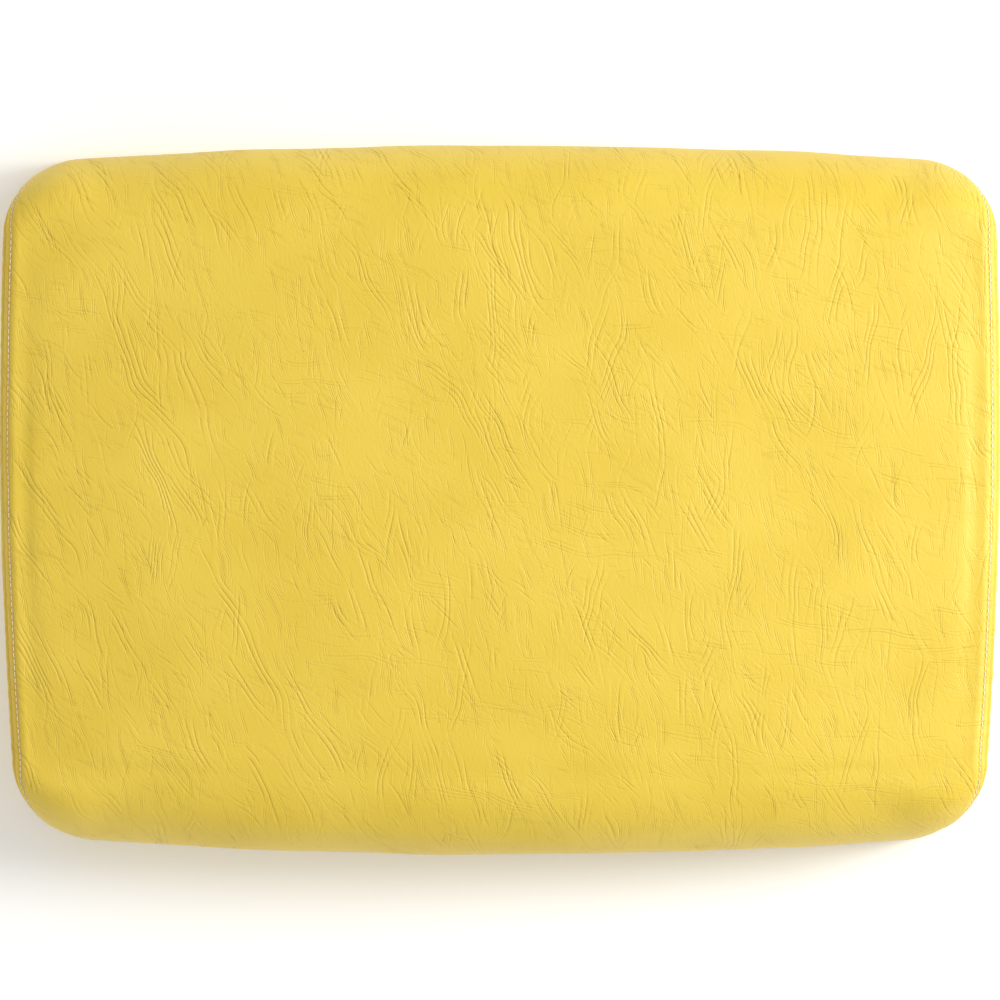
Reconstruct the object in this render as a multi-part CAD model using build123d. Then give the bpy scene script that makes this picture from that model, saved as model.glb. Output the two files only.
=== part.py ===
from build123d import *

import os

# An upholstered seat cushion: a vinyl cover sewn from a main panel and two end panels, pulled over
# padding on a plywood base, turned under the base and stapled. Millimetres, +Z up, front towards
# -Y. The origin is the centre of the underside, on the cloth that closes it.

# Overall form
WIDTH = 500.0  # across the widest part
DEPTH = 356.0  # front to rear on the centre line
HEIGHT = 92.0  # underside to the middle of the crown
CROWN_RISE = 9.0  # how far the middle stands above the middle of the ends
WIDEST_STATION = 48.0  # how far behind the centre the cushion is widest
SIDE_BOW_RADIUS = 2700.0
FRONT_BOW_RADIUS = 2900.0
REAR_BOW_RADIUS = 3400.0
CORNER_RADIUS = 36.0  # seen from above
EDGE_ROLL = 38.0  # round of the foam along the front and rear
END_ROLL = 9.0  # round of the cover along the ends
UNDER_ROLL = 3.0  # round where the cover turns under the base
LAP = 0.3  # how far the block with rounded ends stands outside the one with rounded edges

# Cover
VINYL = 1.1
HEM_WIDTH = 34.0  # width of the vinyl turned under the base
HEM_CORNER = 6.0
SEAM_SETBACK = 12.0  # end seam behind the front face and ahead of the rear face
SEAM_DROP = 6.0  # end seam below the top face
SEAM_CORNER = 29.0  # round of an end panel's two upper corners
SEAM_LAP = 1.5  # strip where a seam allowance lies on its end panel
SEAM_ALLOWANCE = 10.0

# Topstitching
TOPSTITCH_SETBACK = 7.0
TOPSTITCH_DROP = 1.5
TOPSTITCH_CORNER = 34.0
STITCH_PITCH = 3.2
STITCH_LENGTH = 2.7
THREAD = 0.6
THREAD_LIFT = 0.06  # under a stitch, which is straight where the cover is curved

# Padding
BATTING = 4.0
CORE_HEIGHT = 44.0  # firm foam; the soft foam fills the rest

# Base
BASE_THICKNESS = 12.0
VENT_RADIUS = 9.0
VENT_SPACING = 190.0
BOLT_SPACING_X = 305.0
BOLT_SPACING_Y = 127.0

# Threaded inserts
INSERT_BORE_RADIUS = 3.0
BARREL_RADIUS = 4.0
BARREL_LENGTH = 10.0
FLANGE_RADIUS = 10.0
FLANGE = 1.4
PRONG_COUNT = 4
PRONG_WIDTH = 3.6
PRONG_TIP = 0.8
PRONG_THICKNESS = 1.2
PRONG_LENGTH = 6.5
PILOT_CLEARANCE = 0.2

# Underside cloth and staples
CLOTH = 0.8
CLOTH_INSET = 14.0
CLOTH_CORNER = 22.0
BOLT_HOLE_RADIUS = 6.0
STAPLE_CROWN = 10.0
WIRE_WIDTH = 1.2
WIRE = 0.5
STAPLE_LEG = 8.0
STAPLE_CORNER = 14.0  # round of a staple row at the corners
COVER_STAPLE_INSET = 25.0
COVER_STAPLE_PITCH = 25.0
CLOTH_STAPLE_INSET = 18.5
CLOTH_STAPLE_PITCH = 45.0

# Levels
BASE_BOTTOM = CLOTH + VINYL
BASE_TOP = BASE_BOTTOM + BASE_THICKNESS
CORE_TOP = BASE_TOP + CORE_HEIGHT
INSERT_MOUTH = BASE_TOP - FLANGE - BARREL_LENGTH
CROWN_RADIUS = ((WIDTH / 2) ** 2 + CROWN_RISE**2) / (2 * CROWN_RISE)
ROOM = 2 * HEIGHT  # how far cutting tools run past the cushion

LEFT, RIGHT = -1, 1


def bow_disc(direction, reach, radius, station=0.0):
    """A large disc whose rim bows out as far as reach in one direction."""
    centre = Vector(*direction) * (reach - radius)
    across = Vector(abs(direction[1]), abs(direction[0])) * station
    return Pos(centre + across) * Circle(radius)


def front_to_rear(inset):
    """The area between the bowed front and rear edges, both drawn in by inset."""
    front = bow_disc((0, -1), DEPTH / 2 - inset, FRONT_BOW_RADIUS - inset)
    rear = bow_disc((0, 1), DEPTH / 2 - inset, REAR_BOW_RADIUS - inset)
    return front & rear & Rectangle(WIDTH + ROOM, DEPTH + ROOM)


def between_ends(face, inset):
    """The part of a face between the bowed ends, which are drawn in by inset."""
    for side in (LEFT, RIGHT):
        face &= bow_disc((side, 0), WIDTH / 2 - inset, SIDE_BOW_RADIUS - inset, WIDEST_STATION)
    return face


def outline(inset, corner):
    """The cushion seen from above, drawn in by inset, with corners of the radius given."""
    face = between_ends(front_to_rear(inset), inset)
    return fillet(face.vertices(), corner)


def crowned(face, drop, floor):
    """A block over the face, from the level floor up to the domed crown lowered by drop."""
    block = Pos(0, 0, floor) * extrude(face, ROOM)
    dome = Pos(0, 0, HEIGHT - CROWN_RADIUS) * Rot(0, 90, 0) * Sphere(CROWN_RADIUS - drop)
    return block & dome


def level(low, high):
    """Everything between two heights."""
    return Pos(0, 0, low) * Box(
        WIDTH + ROOM, DEPTH + ROOM, high - low, align=(Align.CENTER, Align.CENTER, Align.MIN)
    )


def rolled(setback, drop, roll, floor, under=0.0):
    """A crowned block with rounded front and rear edges that runs past both ends."""
    block = crowned(front_to_rear(setback), drop, floor)
    long_edges = block.edges().filter_by(lambda e: e.length > WIDTH and abs(e.center().Y) > DEPTH / 4)
    top = long_edges.filter_by(lambda e: e.center().Z > HEIGHT / 2)
    bottom = long_edges.filter_by(lambda e: e.center().Z < HEIGHT / 2)
    block = fillet(top, roll)
    if under:
        block = fillet(block.edges().filter_by(lambda e: e.length > WIDTH).group_by(Axis.Z)[0], under)
    return block


def form(inset, floor):
    """The cushion's outer form, drawn in by inset all round, down to the level floor."""
    under = max(UNDER_ROLL - inset, LAP)
    footprint = between_ends(front_to_rear(inset - LAP), inset)
    footprint = fillet(footprint.vertices(), CORNER_RADIUS - inset)
    ends = crowned(footprint, inset - LAP, floor - LAP)
    ends = fillet(ends.edges().filter_by(lambda e: e.center().Z > HEIGHT / 2), END_ROLL - inset)
    ends = fillet(ends.edges().group_by(Axis.Z)[0], under)
    return ends & rolled(inset, inset, EDGE_ROLL - inset, floor, under)


# Cover -------------------------------------------------------------------------------------------

def end_zone(side, widen, floor):
    """What lies inside an end panel's seam, moved outwards by widen, with mitred lower corners."""
    seam = rolled(SEAM_SETBACK - widen, SEAM_DROP - widen, SEAM_CORNER + widen, floor)
    plan = outline(0, CORNER_RADIUS) & front_to_rear(SEAM_SETBACK - widen)
    front, rear = (plan.edges().sort_by(Axis.Y)[i] for i in (0, -1))
    front, rear = (max(e.vertices(), key=lambda v: side * v.X) for e in (front, rear))
    reach = HEM_WIDTH + SEAM_SETBACK
    mitre = Polyline(
        (side * 2 * ROOM, front.Y),
        (front.X, front.Y),
        (front.X - side * reach, front.Y + reach),
        (rear.X - side * reach, rear.Y - reach),
        (rear.X, rear.Y),
        (side * 2 * ROOM, rear.Y),
        close=True,
    )
    return seam & Pos(0, 0, floor) * extrude(make_face(mitre), ROOM)


def seam_allowance(side, under_cover, under_allowance):
    """The end panel's edge, tucked under the main panel along the seam."""
    layer = under_cover - under_allowance
    layer &= end_zone(side, SEAM_ALLOWANCE, BASE_TOP)
    inner = between_ends(Rectangle(WIDTH + ROOM, DEPTH + ROOM), SEAM_ALLOWANCE)
    layer -= extrude(inner, ROOM)
    return layer - end_zone(side, -SEAM_LAP, 0)


def cover_panels(outer, under_cover, allowances):
    """The main panel and the two end panels, with the hem turned in under the base."""
    cover = outer - under_cover - extrude(outline(HEM_WIDTH, HEM_CORNER), BASE_TOP)
    zones = {side: end_zone(side, 0, 0) for side in (LEFT, RIGHT)}
    panels = {
        "left_end_panel": (cover & zones[LEFT]) + allowances[LEFT],
        "right_end_panel": (cover & zones[RIGHT]) + allowances[RIGHT],
    }
    for zone in zones.values():
        cover -= zone
    panels["cover_top_panel"] = cover
    return panels


def topstitch_line(side):
    """The row of needle holes, seen along X: up the front corner, over the top, down the rear."""
    section = rolled(TOPSTITCH_SETBACK, TOPSTITCH_DROP, TOPSTITCH_CORNER, BASE_TOP)
    station = WIDTH / 2 - TOPSTITCH_DROP - END_ROLL / 2
    face = section & Pos(side * station, 0, HEIGHT / 2) * Rot(0, 90, 0) * Rectangle(ROOM, DEPTH + ROOM)
    return Wire(face.edges().filter_by(lambda e: e.center().Z > BASE_TOP + 1).sort_by(Axis.Y))


def topstitch(side, outer):
    """One straight stitch of thread between each two needle holes, on the face of the cover."""
    line = topstitch_line(side)
    count = round(line.length / STITCH_PITCH)
    holes = []
    for i in range(count + 1):
        seen = line @ (i / count)
        ray = Axis((side * WIDTH, seen.Y, seen.Z), (-side, 0, 0))
        holes.append(outer.find_intersection_points(ray)[0])
    stitches = []
    for (start, normal), (end, _) in zip(holes, holes[1:]):
        along = (end - start).normalized()
        normal = (normal - along * normal.dot(along)).normalized()
        middle = (start + end) / 2 + normal * (THREAD / 2 + THREAD_LIFT)
        stitches.append(Plane(middle, x_dir=normal, z_dir=along) * Cylinder(THREAD / 2, STITCH_LENGTH))
    return Compound(children=stitches)


# Base --------------------------------------------------------------------------------------------

def bolt_places():
    """The centres of the four threaded inserts."""
    return GridLocations(BOLT_SPACING_X, BOLT_SPACING_Y, 2, 2).locations


def prong():
    """One pointed prong, bent down from the rim of an insert's flange."""
    half, tip = PRONG_WIDTH / 2, PRONG_TIP / 2
    blade = Polyline((-half, 0), (half, 0), (tip, -PRONG_LENGTH), (-tip, -PRONG_LENGTH), close=True)
    return Rot(90, 0, 0) * extrude(make_face(blade), PRONG_THICKNESS)


def insert():
    """A pronged threaded insert, with its flange at the top of the base."""
    upright = (Align.CENTER, Align.CENTER, Align.MAX)
    body = Pos(0, 0, BASE_TOP) * Cylinder(FLANGE_RADIUS, FLANGE, align=upright)
    seat = BASE_TOP - FLANGE
    body += Pos(0, 0, seat) * Cylinder(BARREL_RADIUS, BARREL_LENGTH, align=upright)
    for place in PolarLocations(FLANGE_RADIUS - PRONG_THICKNESS, PRONG_COUNT):
        body += Pos(0, 0, seat) * place * Rot(0, 0, 90) * prong()
    bore = Cylinder(INSERT_BORE_RADIUS, FLANGE + BARREL_LENGTH, align=upright)
    return body - Pos(0, 0, BASE_TOP) * bore


def base_board(pad, inserts, staples):
    """The plywood base, bored for the inserts and the vents, with the staples driven in."""
    board = pad & level(BASE_BOTTOM, BASE_TOP)
    tall = (Align.CENTER, Align.CENTER, Align.MIN)
    for place in bolt_places():
        board -= place * Cylinder(BARREL_RADIUS + PILOT_CLEARANCE, BASE_TOP, align=tall)
    for place in GridLocations(VENT_SPACING, 0, 2, 1):
        board -= place * Cylinder(VENT_RADIUS, BASE_TOP, align=tall)
    return board - inserts - staples


def underside_cloth(staples):
    """The thin cloth that closes the underside, open at the four inserts."""
    cloth = extrude(outline(CLOTH_INSET, CLOTH_CORNER), CLOTH)
    for place in bolt_places():
        cloth -= place * Cylinder(BOLT_HOLE_RADIUS, 2 * CLOTH)
    return cloth - staples


def staple():
    """One staple, its crown along X with its outer face at the origin and its legs upwards."""
    upright = (Align.CENTER, Align.CENTER, Align.MIN)
    body = Box(STAPLE_CROWN, WIRE_WIDTH, WIRE, align=upright)
    for end in (-1, 1):
        leg = Pos(end * (STAPLE_CROWN - WIRE) / 2, 0, 0)
        body += leg * Box(WIRE, WIRE_WIDTH, STAPLE_LEG, align=upright)
    return body


def staple_row(inset, pitch, height):
    """Staples set end to end at one distance from the edge, all the way round."""
    row = outline(inset, STAPLE_CORNER).face().outer_wire()
    count = round(row.length / pitch)
    staples = []
    for i in range(count):
        at = (i + 0.5) / count
        heading = row % at
        turn = Plane(row @ at, x_dir=heading, z_dir=(0, 0, 1))
        staples.append(Pos(0, 0, height) * turn * staple())
    return staples


# Assembly ----------------------------------------------------------------------------------------

def cushion():
    """Every piece, by name."""
    outer = form(0, CLOTH)
    under_cover = form(VINYL, BASE_BOTTOM)
    under_allowance = form(2 * VINYL, BASE_BOTTOM)
    pad = form(VINYL + BATTING, BASE_BOTTOM)
    allowances = {side: seam_allowance(side, under_cover, under_allowance) for side in (LEFT, RIGHT)}
    cover_staples = staple_row(COVER_STAPLE_INSET, COVER_STAPLE_PITCH, CLOTH)
    cloth_staples = staple_row(CLOTH_STAPLE_INSET, CLOTH_STAPLE_PITCH, 0)
    staples = cover_staples + cloth_staples
    inserts = [place * insert() for place in bolt_places()]

    pieces = cover_panels(outer, under_cover, allowances)
    for name in pieces:
        pieces[name] -= staples
    pieces["left_topstitch"] = topstitch(LEFT, outer)
    pieces["right_topstitch"] = topstitch(RIGHT, outer)
    pieces["batting"] = under_cover - pad - list(allowances.values())
    pieces["foam_topper"] = pad & level(CORE_TOP, ROOM)
    pieces["foam_core"] = pad & level(BASE_TOP, CORE_TOP)
    pieces["base_board"] = base_board(pad, inserts, staples)
    pieces["threaded_inserts"] = Compound(children=inserts)
    pieces["cover_staples"] = Compound(children=cover_staples)
    pieces["cloth_staples"] = Compound(children=cloth_staples)
    pieces["underside_cloth"] = underside_cloth(cloth_staples)
    return pieces


if __name__ == "__main__":
    os.makedirs("parts", exist_ok=True)
    for name, piece in cushion().items():
        export_step(piece, f"parts/{name}.step")
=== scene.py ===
"""A vinyl-covered seat cushion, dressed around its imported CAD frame.

The cover is one sewn skin of three panels: a main panel that runs up the front, over the top and
down the rear, and two end panels. It is laid out on the cushion's form, inflated as cloth, and
then given its seams, creases and hem. Lengths are in metres; +Z is up and the front faces -Y.
"""

from __future__ import annotations

import logging
import math
from dataclasses import dataclass, field
from enum import Enum

import bpy
import numpy as np
from mathutils import Matrix, Vector


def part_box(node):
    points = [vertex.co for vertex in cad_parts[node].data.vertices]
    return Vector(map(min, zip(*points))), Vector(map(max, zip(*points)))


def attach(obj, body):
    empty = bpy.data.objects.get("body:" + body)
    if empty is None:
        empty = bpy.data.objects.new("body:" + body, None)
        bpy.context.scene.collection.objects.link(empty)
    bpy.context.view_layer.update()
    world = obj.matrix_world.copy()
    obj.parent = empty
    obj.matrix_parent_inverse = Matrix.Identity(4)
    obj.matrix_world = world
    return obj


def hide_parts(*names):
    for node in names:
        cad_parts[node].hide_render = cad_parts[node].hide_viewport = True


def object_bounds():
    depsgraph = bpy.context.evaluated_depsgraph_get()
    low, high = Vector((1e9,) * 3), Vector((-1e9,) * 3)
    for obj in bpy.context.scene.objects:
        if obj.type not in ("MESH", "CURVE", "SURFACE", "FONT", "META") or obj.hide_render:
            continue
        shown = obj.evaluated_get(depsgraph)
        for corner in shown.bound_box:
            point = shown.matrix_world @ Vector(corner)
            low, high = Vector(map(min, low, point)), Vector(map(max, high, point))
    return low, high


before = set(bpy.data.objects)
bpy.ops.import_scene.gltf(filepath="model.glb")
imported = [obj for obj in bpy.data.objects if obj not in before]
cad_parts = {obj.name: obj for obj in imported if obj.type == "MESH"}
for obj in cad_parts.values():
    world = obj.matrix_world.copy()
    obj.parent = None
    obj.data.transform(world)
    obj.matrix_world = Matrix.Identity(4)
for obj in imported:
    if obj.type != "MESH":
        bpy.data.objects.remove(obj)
CAD_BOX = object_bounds()

MM = 0.001
ROOT = "root"
HALVINGS = 40
FLANGE_RADIUS = 10 * MM
Colour = tuple[float, float, float]
log = logging.getLogger("cushion")


class Side(Enum):
    """Which end of the cushion a piece is on."""

    LEFT = -1
    RIGHT = 1


# Curves and surfaces in numbers ------------------------------------------------------------------


def blend_step(value: np.ndarray, low: float, high: float) -> np.ndarray:
    """Rises smoothly from 0 at low to 1 at high.

    Args:
        value: The numbers to map.
        low: Where the rise starts.
        high: Where the rise ends.

    Returns:
        Numbers from 0 to 1.
    """
    t = np.clip((value - low) / (high - low), 0.0, 1.0)
    return t * t * (3 - 2 * t)


def round_meet(first: np.ndarray, second: np.ndarray, radius: np.ndarray | float) -> np.ndarray:
    """Signed distance to the inside of two surfaces that meet in a rounded edge.

    Args:
        first: Signed distance to one surface, negative inside.
        second: Signed distance to the other.
        radius: Radius of the rounded edge.

    Returns:
        The combined signed distance.
    """
    near_first = np.maximum(first + radius, 0)
    near_second = np.maximum(second + radius, 0)
    return np.minimum(np.maximum(first, second), -radius) + np.hypot(near_first, near_second)


def along(points: np.ndarray) -> np.ndarray:
    """Length along a line of points, from 0 at the first point.

    Args:
        points: An array of shape (n, 3).

    Returns:
        An array of shape (n,).
    """
    steps = np.linalg.norm(np.diff(points, axis=0), axis=1)
    return np.concatenate(([0.0], np.cumsum(steps)))


def refine_line(values: np.ndarray, factor: int) -> np.ndarray:
    """Adds factor - 1 points between each two along the first axis, on a smooth curve.

    Args:
        values: An array whose first axis runs along the curve.
        factor: How many steps each step becomes.

    Returns:
        The longer array, which passes through every given value.
    """
    if factor == 1:
        return values
    before = np.concatenate((2 * values[:1] - values[1:2], values[:-1]))
    after = np.concatenate((values[1:], 2 * values[-1:] - values[-2:-1]))
    slope = (after - before) / 2
    start, end, leave, arrive = values[:-1], values[1:], slope[:-1], slope[1:]
    parts = []
    for step in range(factor):
        t = step / factor
        parts.append(
            start * (2 * t**3 - 3 * t**2 + 1)
            + leave * (t**3 - 2 * t**2 + t)
            + end * (3 * t**2 - 2 * t**3)
            + arrive * (t**3 - t**2)
        )
    woven = np.stack(parts, axis=1).reshape((-1, *values.shape[1:]))
    return np.concatenate((woven, values[-1:]))


def refine_grid(grid: np.ndarray, row_factor: int, column_factor: int) -> np.ndarray:
    """Refines a grid of points both ways.

    Args:
        grid: Points of shape (rows, columns, n).
        row_factor: Steps that each step between rows becomes.
        column_factor: Steps that each step between columns becomes.

    Returns:
        The finer grid, which passes through every given point.
    """
    finer = refine_line(grid, row_factor)
    return refine_line(finer.swapaxes(0, 1), column_factor).swapaxes(0, 1)


def grid_normals(grid: np.ndarray) -> np.ndarray:
    """Unit normals of a grid of points: columns' direction crossed with rows' direction.

    Args:
        grid: Points of shape (rows, columns, 3).

    Returns:
        Normals of the same shape.
    """
    cross = np.cross(np.gradient(grid, axis=1), np.gradient(grid, axis=0))
    return cross / np.maximum(np.linalg.norm(cross, axis=2, keepdims=True), 1e-12)


def quads_of(numbers: np.ndarray, turned: bool) -> list[tuple[int, ...]]:
    """The faces between the points of a grid.

    Args:
        numbers: The points' numbers, of shape (rows, columns).
        turned: Whether the faces look the other way.

    Returns:
        Tuples of four point numbers.
    """
    corners = (numbers[:-1, :-1], numbers[:-1, 1:], numbers[1:, 1:], numbers[1:, :-1])
    quads = np.stack(corners, axis=-1).reshape(-1, 4)
    return [tuple(quad) for quad in (quads[:, ::-1] if turned else quads).tolist()]


# The cushion's form ------------------------------------------------------------------------------


@dataclass(frozen=True)
class CushionForm:
    """The padded block that the cover is pulled over, as a signed distance.

    The overall size comes from the frame, and the roundings are the cushion's own.
    """

    width: float
    depth: float
    height: float
    crown_rise: float = 9 * MM
    widest_station: float = 48 * MM
    side_bow: float = 2700 * MM
    front_bow: float = 2900 * MM
    rear_bow: float = 3400 * MM
    corner: float = 36 * MM
    edge_roll: float = 38 * MM
    end_roll: float = 9 * MM

    @property
    def crown_radius(self) -> float:
        """Radius of the domed top."""
        return ((self.width / 2) ** 2 + self.crown_rise**2) / (2 * self.crown_rise)

    def front(self, x: np.ndarray) -> np.ndarray:
        """Y of the bowed front edge at x."""
        centre = self.front_bow - self.depth / 2
        return centre - np.sqrt(self.front_bow**2 - x**2)

    def rear(self, x: np.ndarray) -> np.ndarray:
        """Y of the bowed rear edge at x."""
        centre = self.depth / 2 - self.rear_bow
        return centre + np.sqrt(self.rear_bow**2 - x**2)

    def crown(self, x: np.ndarray, y: np.ndarray) -> np.ndarray:
        """Height of the domed top above a place."""
        centre = self.height - self.crown_radius
        return centre + np.sqrt(self.crown_radius**2 - x**2 - y**2)

    def edges(self, p: np.ndarray) -> tuple[np.ndarray, np.ndarray]:
        """Signed distances to the end walls, and to the front and rear walls.

        Args:
            p: Points with x, y, z on the last axis.

        Returns:
            Two arrays, negative inside.
        """
        x, y = p[..., 0], p[..., 1]
        ends = np.hypot(np.abs(x) - self.width / 2 + self.side_bow, y - self.widest_station)
        front = np.hypot(x, y + self.depth / 2 - self.front_bow) - self.front_bow
        rear = np.hypot(x, y - self.depth / 2 + self.rear_bow) - self.rear_bow
        return ends - self.side_bow, np.where(y < 0, front, rear)

    def distance(self, p: np.ndarray) -> np.ndarray:
        """Signed distance to the form, which has no underside.

        Args:
            p: Points with x, y, z on the last axis.

        Returns:
            One number a point, negative inside.
        """
        ends, fronts = self.edges(p)
        plan = round_meet(ends, fronts, self.corner)
        share = blend_step(fronts - ends, -self.corner, self.corner)
        roll = self.end_roll + (self.edge_roll - self.end_roll) * share
        centre = self.crown_radius - self.height
        dome = np.sqrt(p[..., 0] ** 2 + p[..., 1] ** 2 + (p[..., 2] + centre) ** 2)
        return round_meet(plan, dome - self.crown_radius, roll)

    def outward(self, p: np.ndarray) -> np.ndarray:
        """The direction in which the distance grows, by small differences.

        Args:
            p: Points with x, y, z on the last axis.

        Returns:
            Unit vectors of the same shape.
        """
        step = 0.05 * MM
        parts = []
        for axis in range(3):
            shift = np.zeros(3)
            shift[axis] = step
            parts.append(self.distance(p + shift) - self.distance(p - shift))
        slope = np.stack(parts, axis=-1)
        return slope / np.maximum(np.linalg.norm(slope, axis=-1, keepdims=True), 1e-12)

    def settle(self, p: np.ndarray, inset: float = 0.0, rounds: int = 8) -> np.ndarray:
        """Moves points onto the form.

        Args:
            p: Points near the form.
            inset: How far inside the form they end.
            rounds: Steps of the search.

        Returns:
            The moved points.
        """
        for _ in range(rounds):
            p = p - self.outward(p) * (self.distance(p) + inset)[..., None]
        return p


# The sewn cover ----------------------------------------------------------------------------------


@dataclass(frozen=True)
class SeamPlan:
    """Where the end seams run, and how the hem turns under."""

    setback: float = 12 * MM
    drop: float = 6 * MM
    corner: float = 29 * MM
    hem: float = 34 * MM
    hem_level: float = 0.8 * MM
    under_roll: float = 3 * MM
    vinyl: float = 1.1 * MM


@dataclass(frozen=True)
class Rows:
    """How many steps each stretch of the main panel has, from the front hem to the rear."""

    hem: int = 6
    under: int = 3
    wall: int = 11
    roll: int = 14
    crown: int = 64

    def stretches(self) -> list[tuple[str, float]]:
        """Name and share of each row from the front's lowest wall row to the rear's.

        Returns:
            Pairs of a stretch's name and how far along it the row is.
        """
        half = [("wall", k / self.wall) for k in range(self.wall)]
        half += [("roll", k / self.roll) for k in range(self.roll)]
        rear = [(f"rear_{name}", share) for name, share in half]
        top = [("crown", k / self.crown) for k in range(self.crown + 1)]
        return half + top + rear[::-1]


@dataclass
class CoverLayout:
    """Lays the three panels of the cover out on the form, as grids of points."""

    form: CushionForm
    seam: SeamPlan
    rows: Rows
    seam_columns: int = 10
    seam_step: float = 1.7 * MM
    seam_growth: float = 1.1
    even_columns: int = 108
    low_reach: float = 46 * MM
    high_reach: float = 14 * MM

    @property
    def floor(self) -> float:
        """Height of the panels' foot."""
        return self.seam.hem_level + self.seam.under_roll

    def spread(self, line: np.ndarray) -> np.ndarray:
        """Spaces a row's points: close together by each seam and evenly between.

        Args:
            line: Many points along the row, from one seam to the other.

        Returns:
            The row's points, of shape (columns, 3).
        """
        lengths = along(line)
        step, growth = self.seam_step, self.seam_growth
        near = step * (growth ** np.arange(self.seam_columns + 1) - 1) / (growth - 1)
        between = np.linspace(near[-1], lengths[-1] - near[-1], self.even_columns + 1)
        places = np.concatenate((near[:-1], between, (lengths[-1] - near[:-1])[::-1]))
        return np.column_stack([np.interp(places, lengths, line[:, k]) for k in range(3)])

    def aim(self, x: np.ndarray, name: str, share: float, close: np.ndarray) -> np.ndarray:
        """A first guess of a row of the main panel.

        Args:
            x: Place of each point along the width.
            name: The stretch that the row is on.
            share: How far along the stretch it is.
            close: From 0 away from the seam to 1 on it.

        Returns:
            Points of shape (len(x), 3).
        """
        form, seam = self.form, self.seam
        setback = seam.setback * close
        drop = seam.drop * close
        roll = form.edge_roll + (seam.corner - form.edge_roll) * close
        rear = name.startswith("rear_")
        name = name.removeprefix("rear_")
        edge = form.rear(x) - setback if rear else form.front(x) + setback
        inward = -1 if rear else 1
        if name == "wall":
            y = edge
            top = form.crown(x, y + inward * roll) - drop - roll
            z = self.floor + (top - self.floor) * share
        elif name == "roll":
            turn = share * math.pi / 2
            y = edge + inward * roll * (1 - math.cos(turn))
            z = form.crown(x, y) - drop - roll * (1 - math.sin(turn))
        else:
            first = form.front(x) + setback + roll
            last = form.rear(x) - setback - roll
            y = first + (last - first) * share
            z = form.crown(x, y) - drop
        return np.stack((x, y, z), axis=-1)

    def seam_line(self, side: Side) -> np.ndarray:
        """The seam at one end, from the front's foot over the top to the rear's foot.

        Args:
            side: Which end.

        Returns:
            Points of shape (rows, 3).
        """
        line = []
        for name, share in self.rows.stretches():
            low, high = 0.8 * self.form.width / 2, 1.05 * self.form.width / 2
            for _ in range(HALVINGS):
                middle = (low + high) / 2
                point = self.aim(np.array([side.value * middle]), name, share, np.ones(1))
                if self.form.distance(point)[0] < 0:
                    low = middle
                else:
                    high = middle
            line.append(point[0])
        return np.array(line)

    def main_panel(self, inset: float) -> np.ndarray:
        """The main panel's grid, without its hem.

        Args:
            inset: How far inside the form it is laid.

        Returns:
            Points of shape (rows, columns, 3).
        """
        left, right = self.seam_line(Side.LEFT), self.seam_line(Side.RIGHT)
        dense = np.linspace(-1, 1, 4 * self.even_columns + 1)
        lines = []
        for (name, share), start, end in zip(self.rows.stretches(), left, right):
            x = np.where(dense < 0, -dense * start[0], dense * end[0])
            height = np.clip((end[2] - self.floor) / (self.form.height - self.floor), 0, 1)
            reach = self.low_reach + (self.high_reach - self.low_reach) * height**3
            close = blend_step(np.abs(x), end[0] - reach, end[0])
            line = self.form.settle(self.aim(x, name, share, close))
            lines.append(self.spread(line))
        return self.form.settle(np.array(lines), inset)

    def end_panel(self, seam: np.ndarray, inset: float) -> np.ndarray:
        """An end panel's grid, without its hem, inside its seam.

        Args:
            seam: The seam's points, as seam_line gives them.
            inset: How far inside the form it is laid.

        Returns:
            Points of shape (rows up, columns from front to rear, 3).
        """
        up = self.rows.wall + self.rows.roll // 2
        front, top = seam[: up + 1], seam[up : len(seam) - up]
        rear = seam[len(seam) - up - 1 :][::-1]
        across = np.linspace(0, 1, len(top))[None, :, None]
        rise = np.linspace(0, 1, up + 1)[:, None, None]
        foot = front[0] + (rear[0] - front[0]) * across[0]
        foot = self.form.settle(foot[None])[0]
        foot[[0, -1]] = front[0], rear[0]
        sides = front[:, None] * (1 - across) + rear[:, None] * across
        levels = foot[None] * (1 - rise) + top[None] * rise
        corners = (foot[0] * (1 - across) + foot[-1] * across) * (1 - rise)
        corners = corners + (top[0] * (1 - across) + top[-1] * across) * rise
        grid = self.form.settle(sides + levels - corners, inset)
        grid[:, 0], grid[:, -1], grid[-1] = front, rear, top
        return grid

    def turned_under(self, foot: np.ndarray) -> np.ndarray:
        """The rows below a panel's foot: round the board's edge and in under it.

        Args:
            foot: The panel's lowest row of points.

        Returns:
            Points of shape (rows, columns, 3), from the hem's edge to just below the foot.
        """
        seam = self.seam
        out = self.form.outward(foot)[:, :2]
        out /= np.linalg.norm(out, axis=1, keepdims=True)
        insets = list(np.linspace(seam.hem, seam.under_roll, self.rows.hem + 1))
        heights = [seam.hem_level] * len(insets)
        for k in range(1, self.rows.under):
            turn = k / self.rows.under * math.pi / 2
            insets.append(seam.under_roll * (1 - math.sin(turn)))
            heights.append(seam.hem_level + seam.under_roll * (1 - math.cos(turn)))
        rows = []
        for inset, height in zip(insets, heights):
            plan = foot[:, :2] - out * inset
            rows.append(np.column_stack((plan, np.full(len(foot), height))))
        return np.array(rows)


@dataclass
class Panels:
    """The cover's three panels as grids of points, each row from its hem upwards."""

    main: np.ndarray
    left: np.ndarray
    right: np.ndarray


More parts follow.
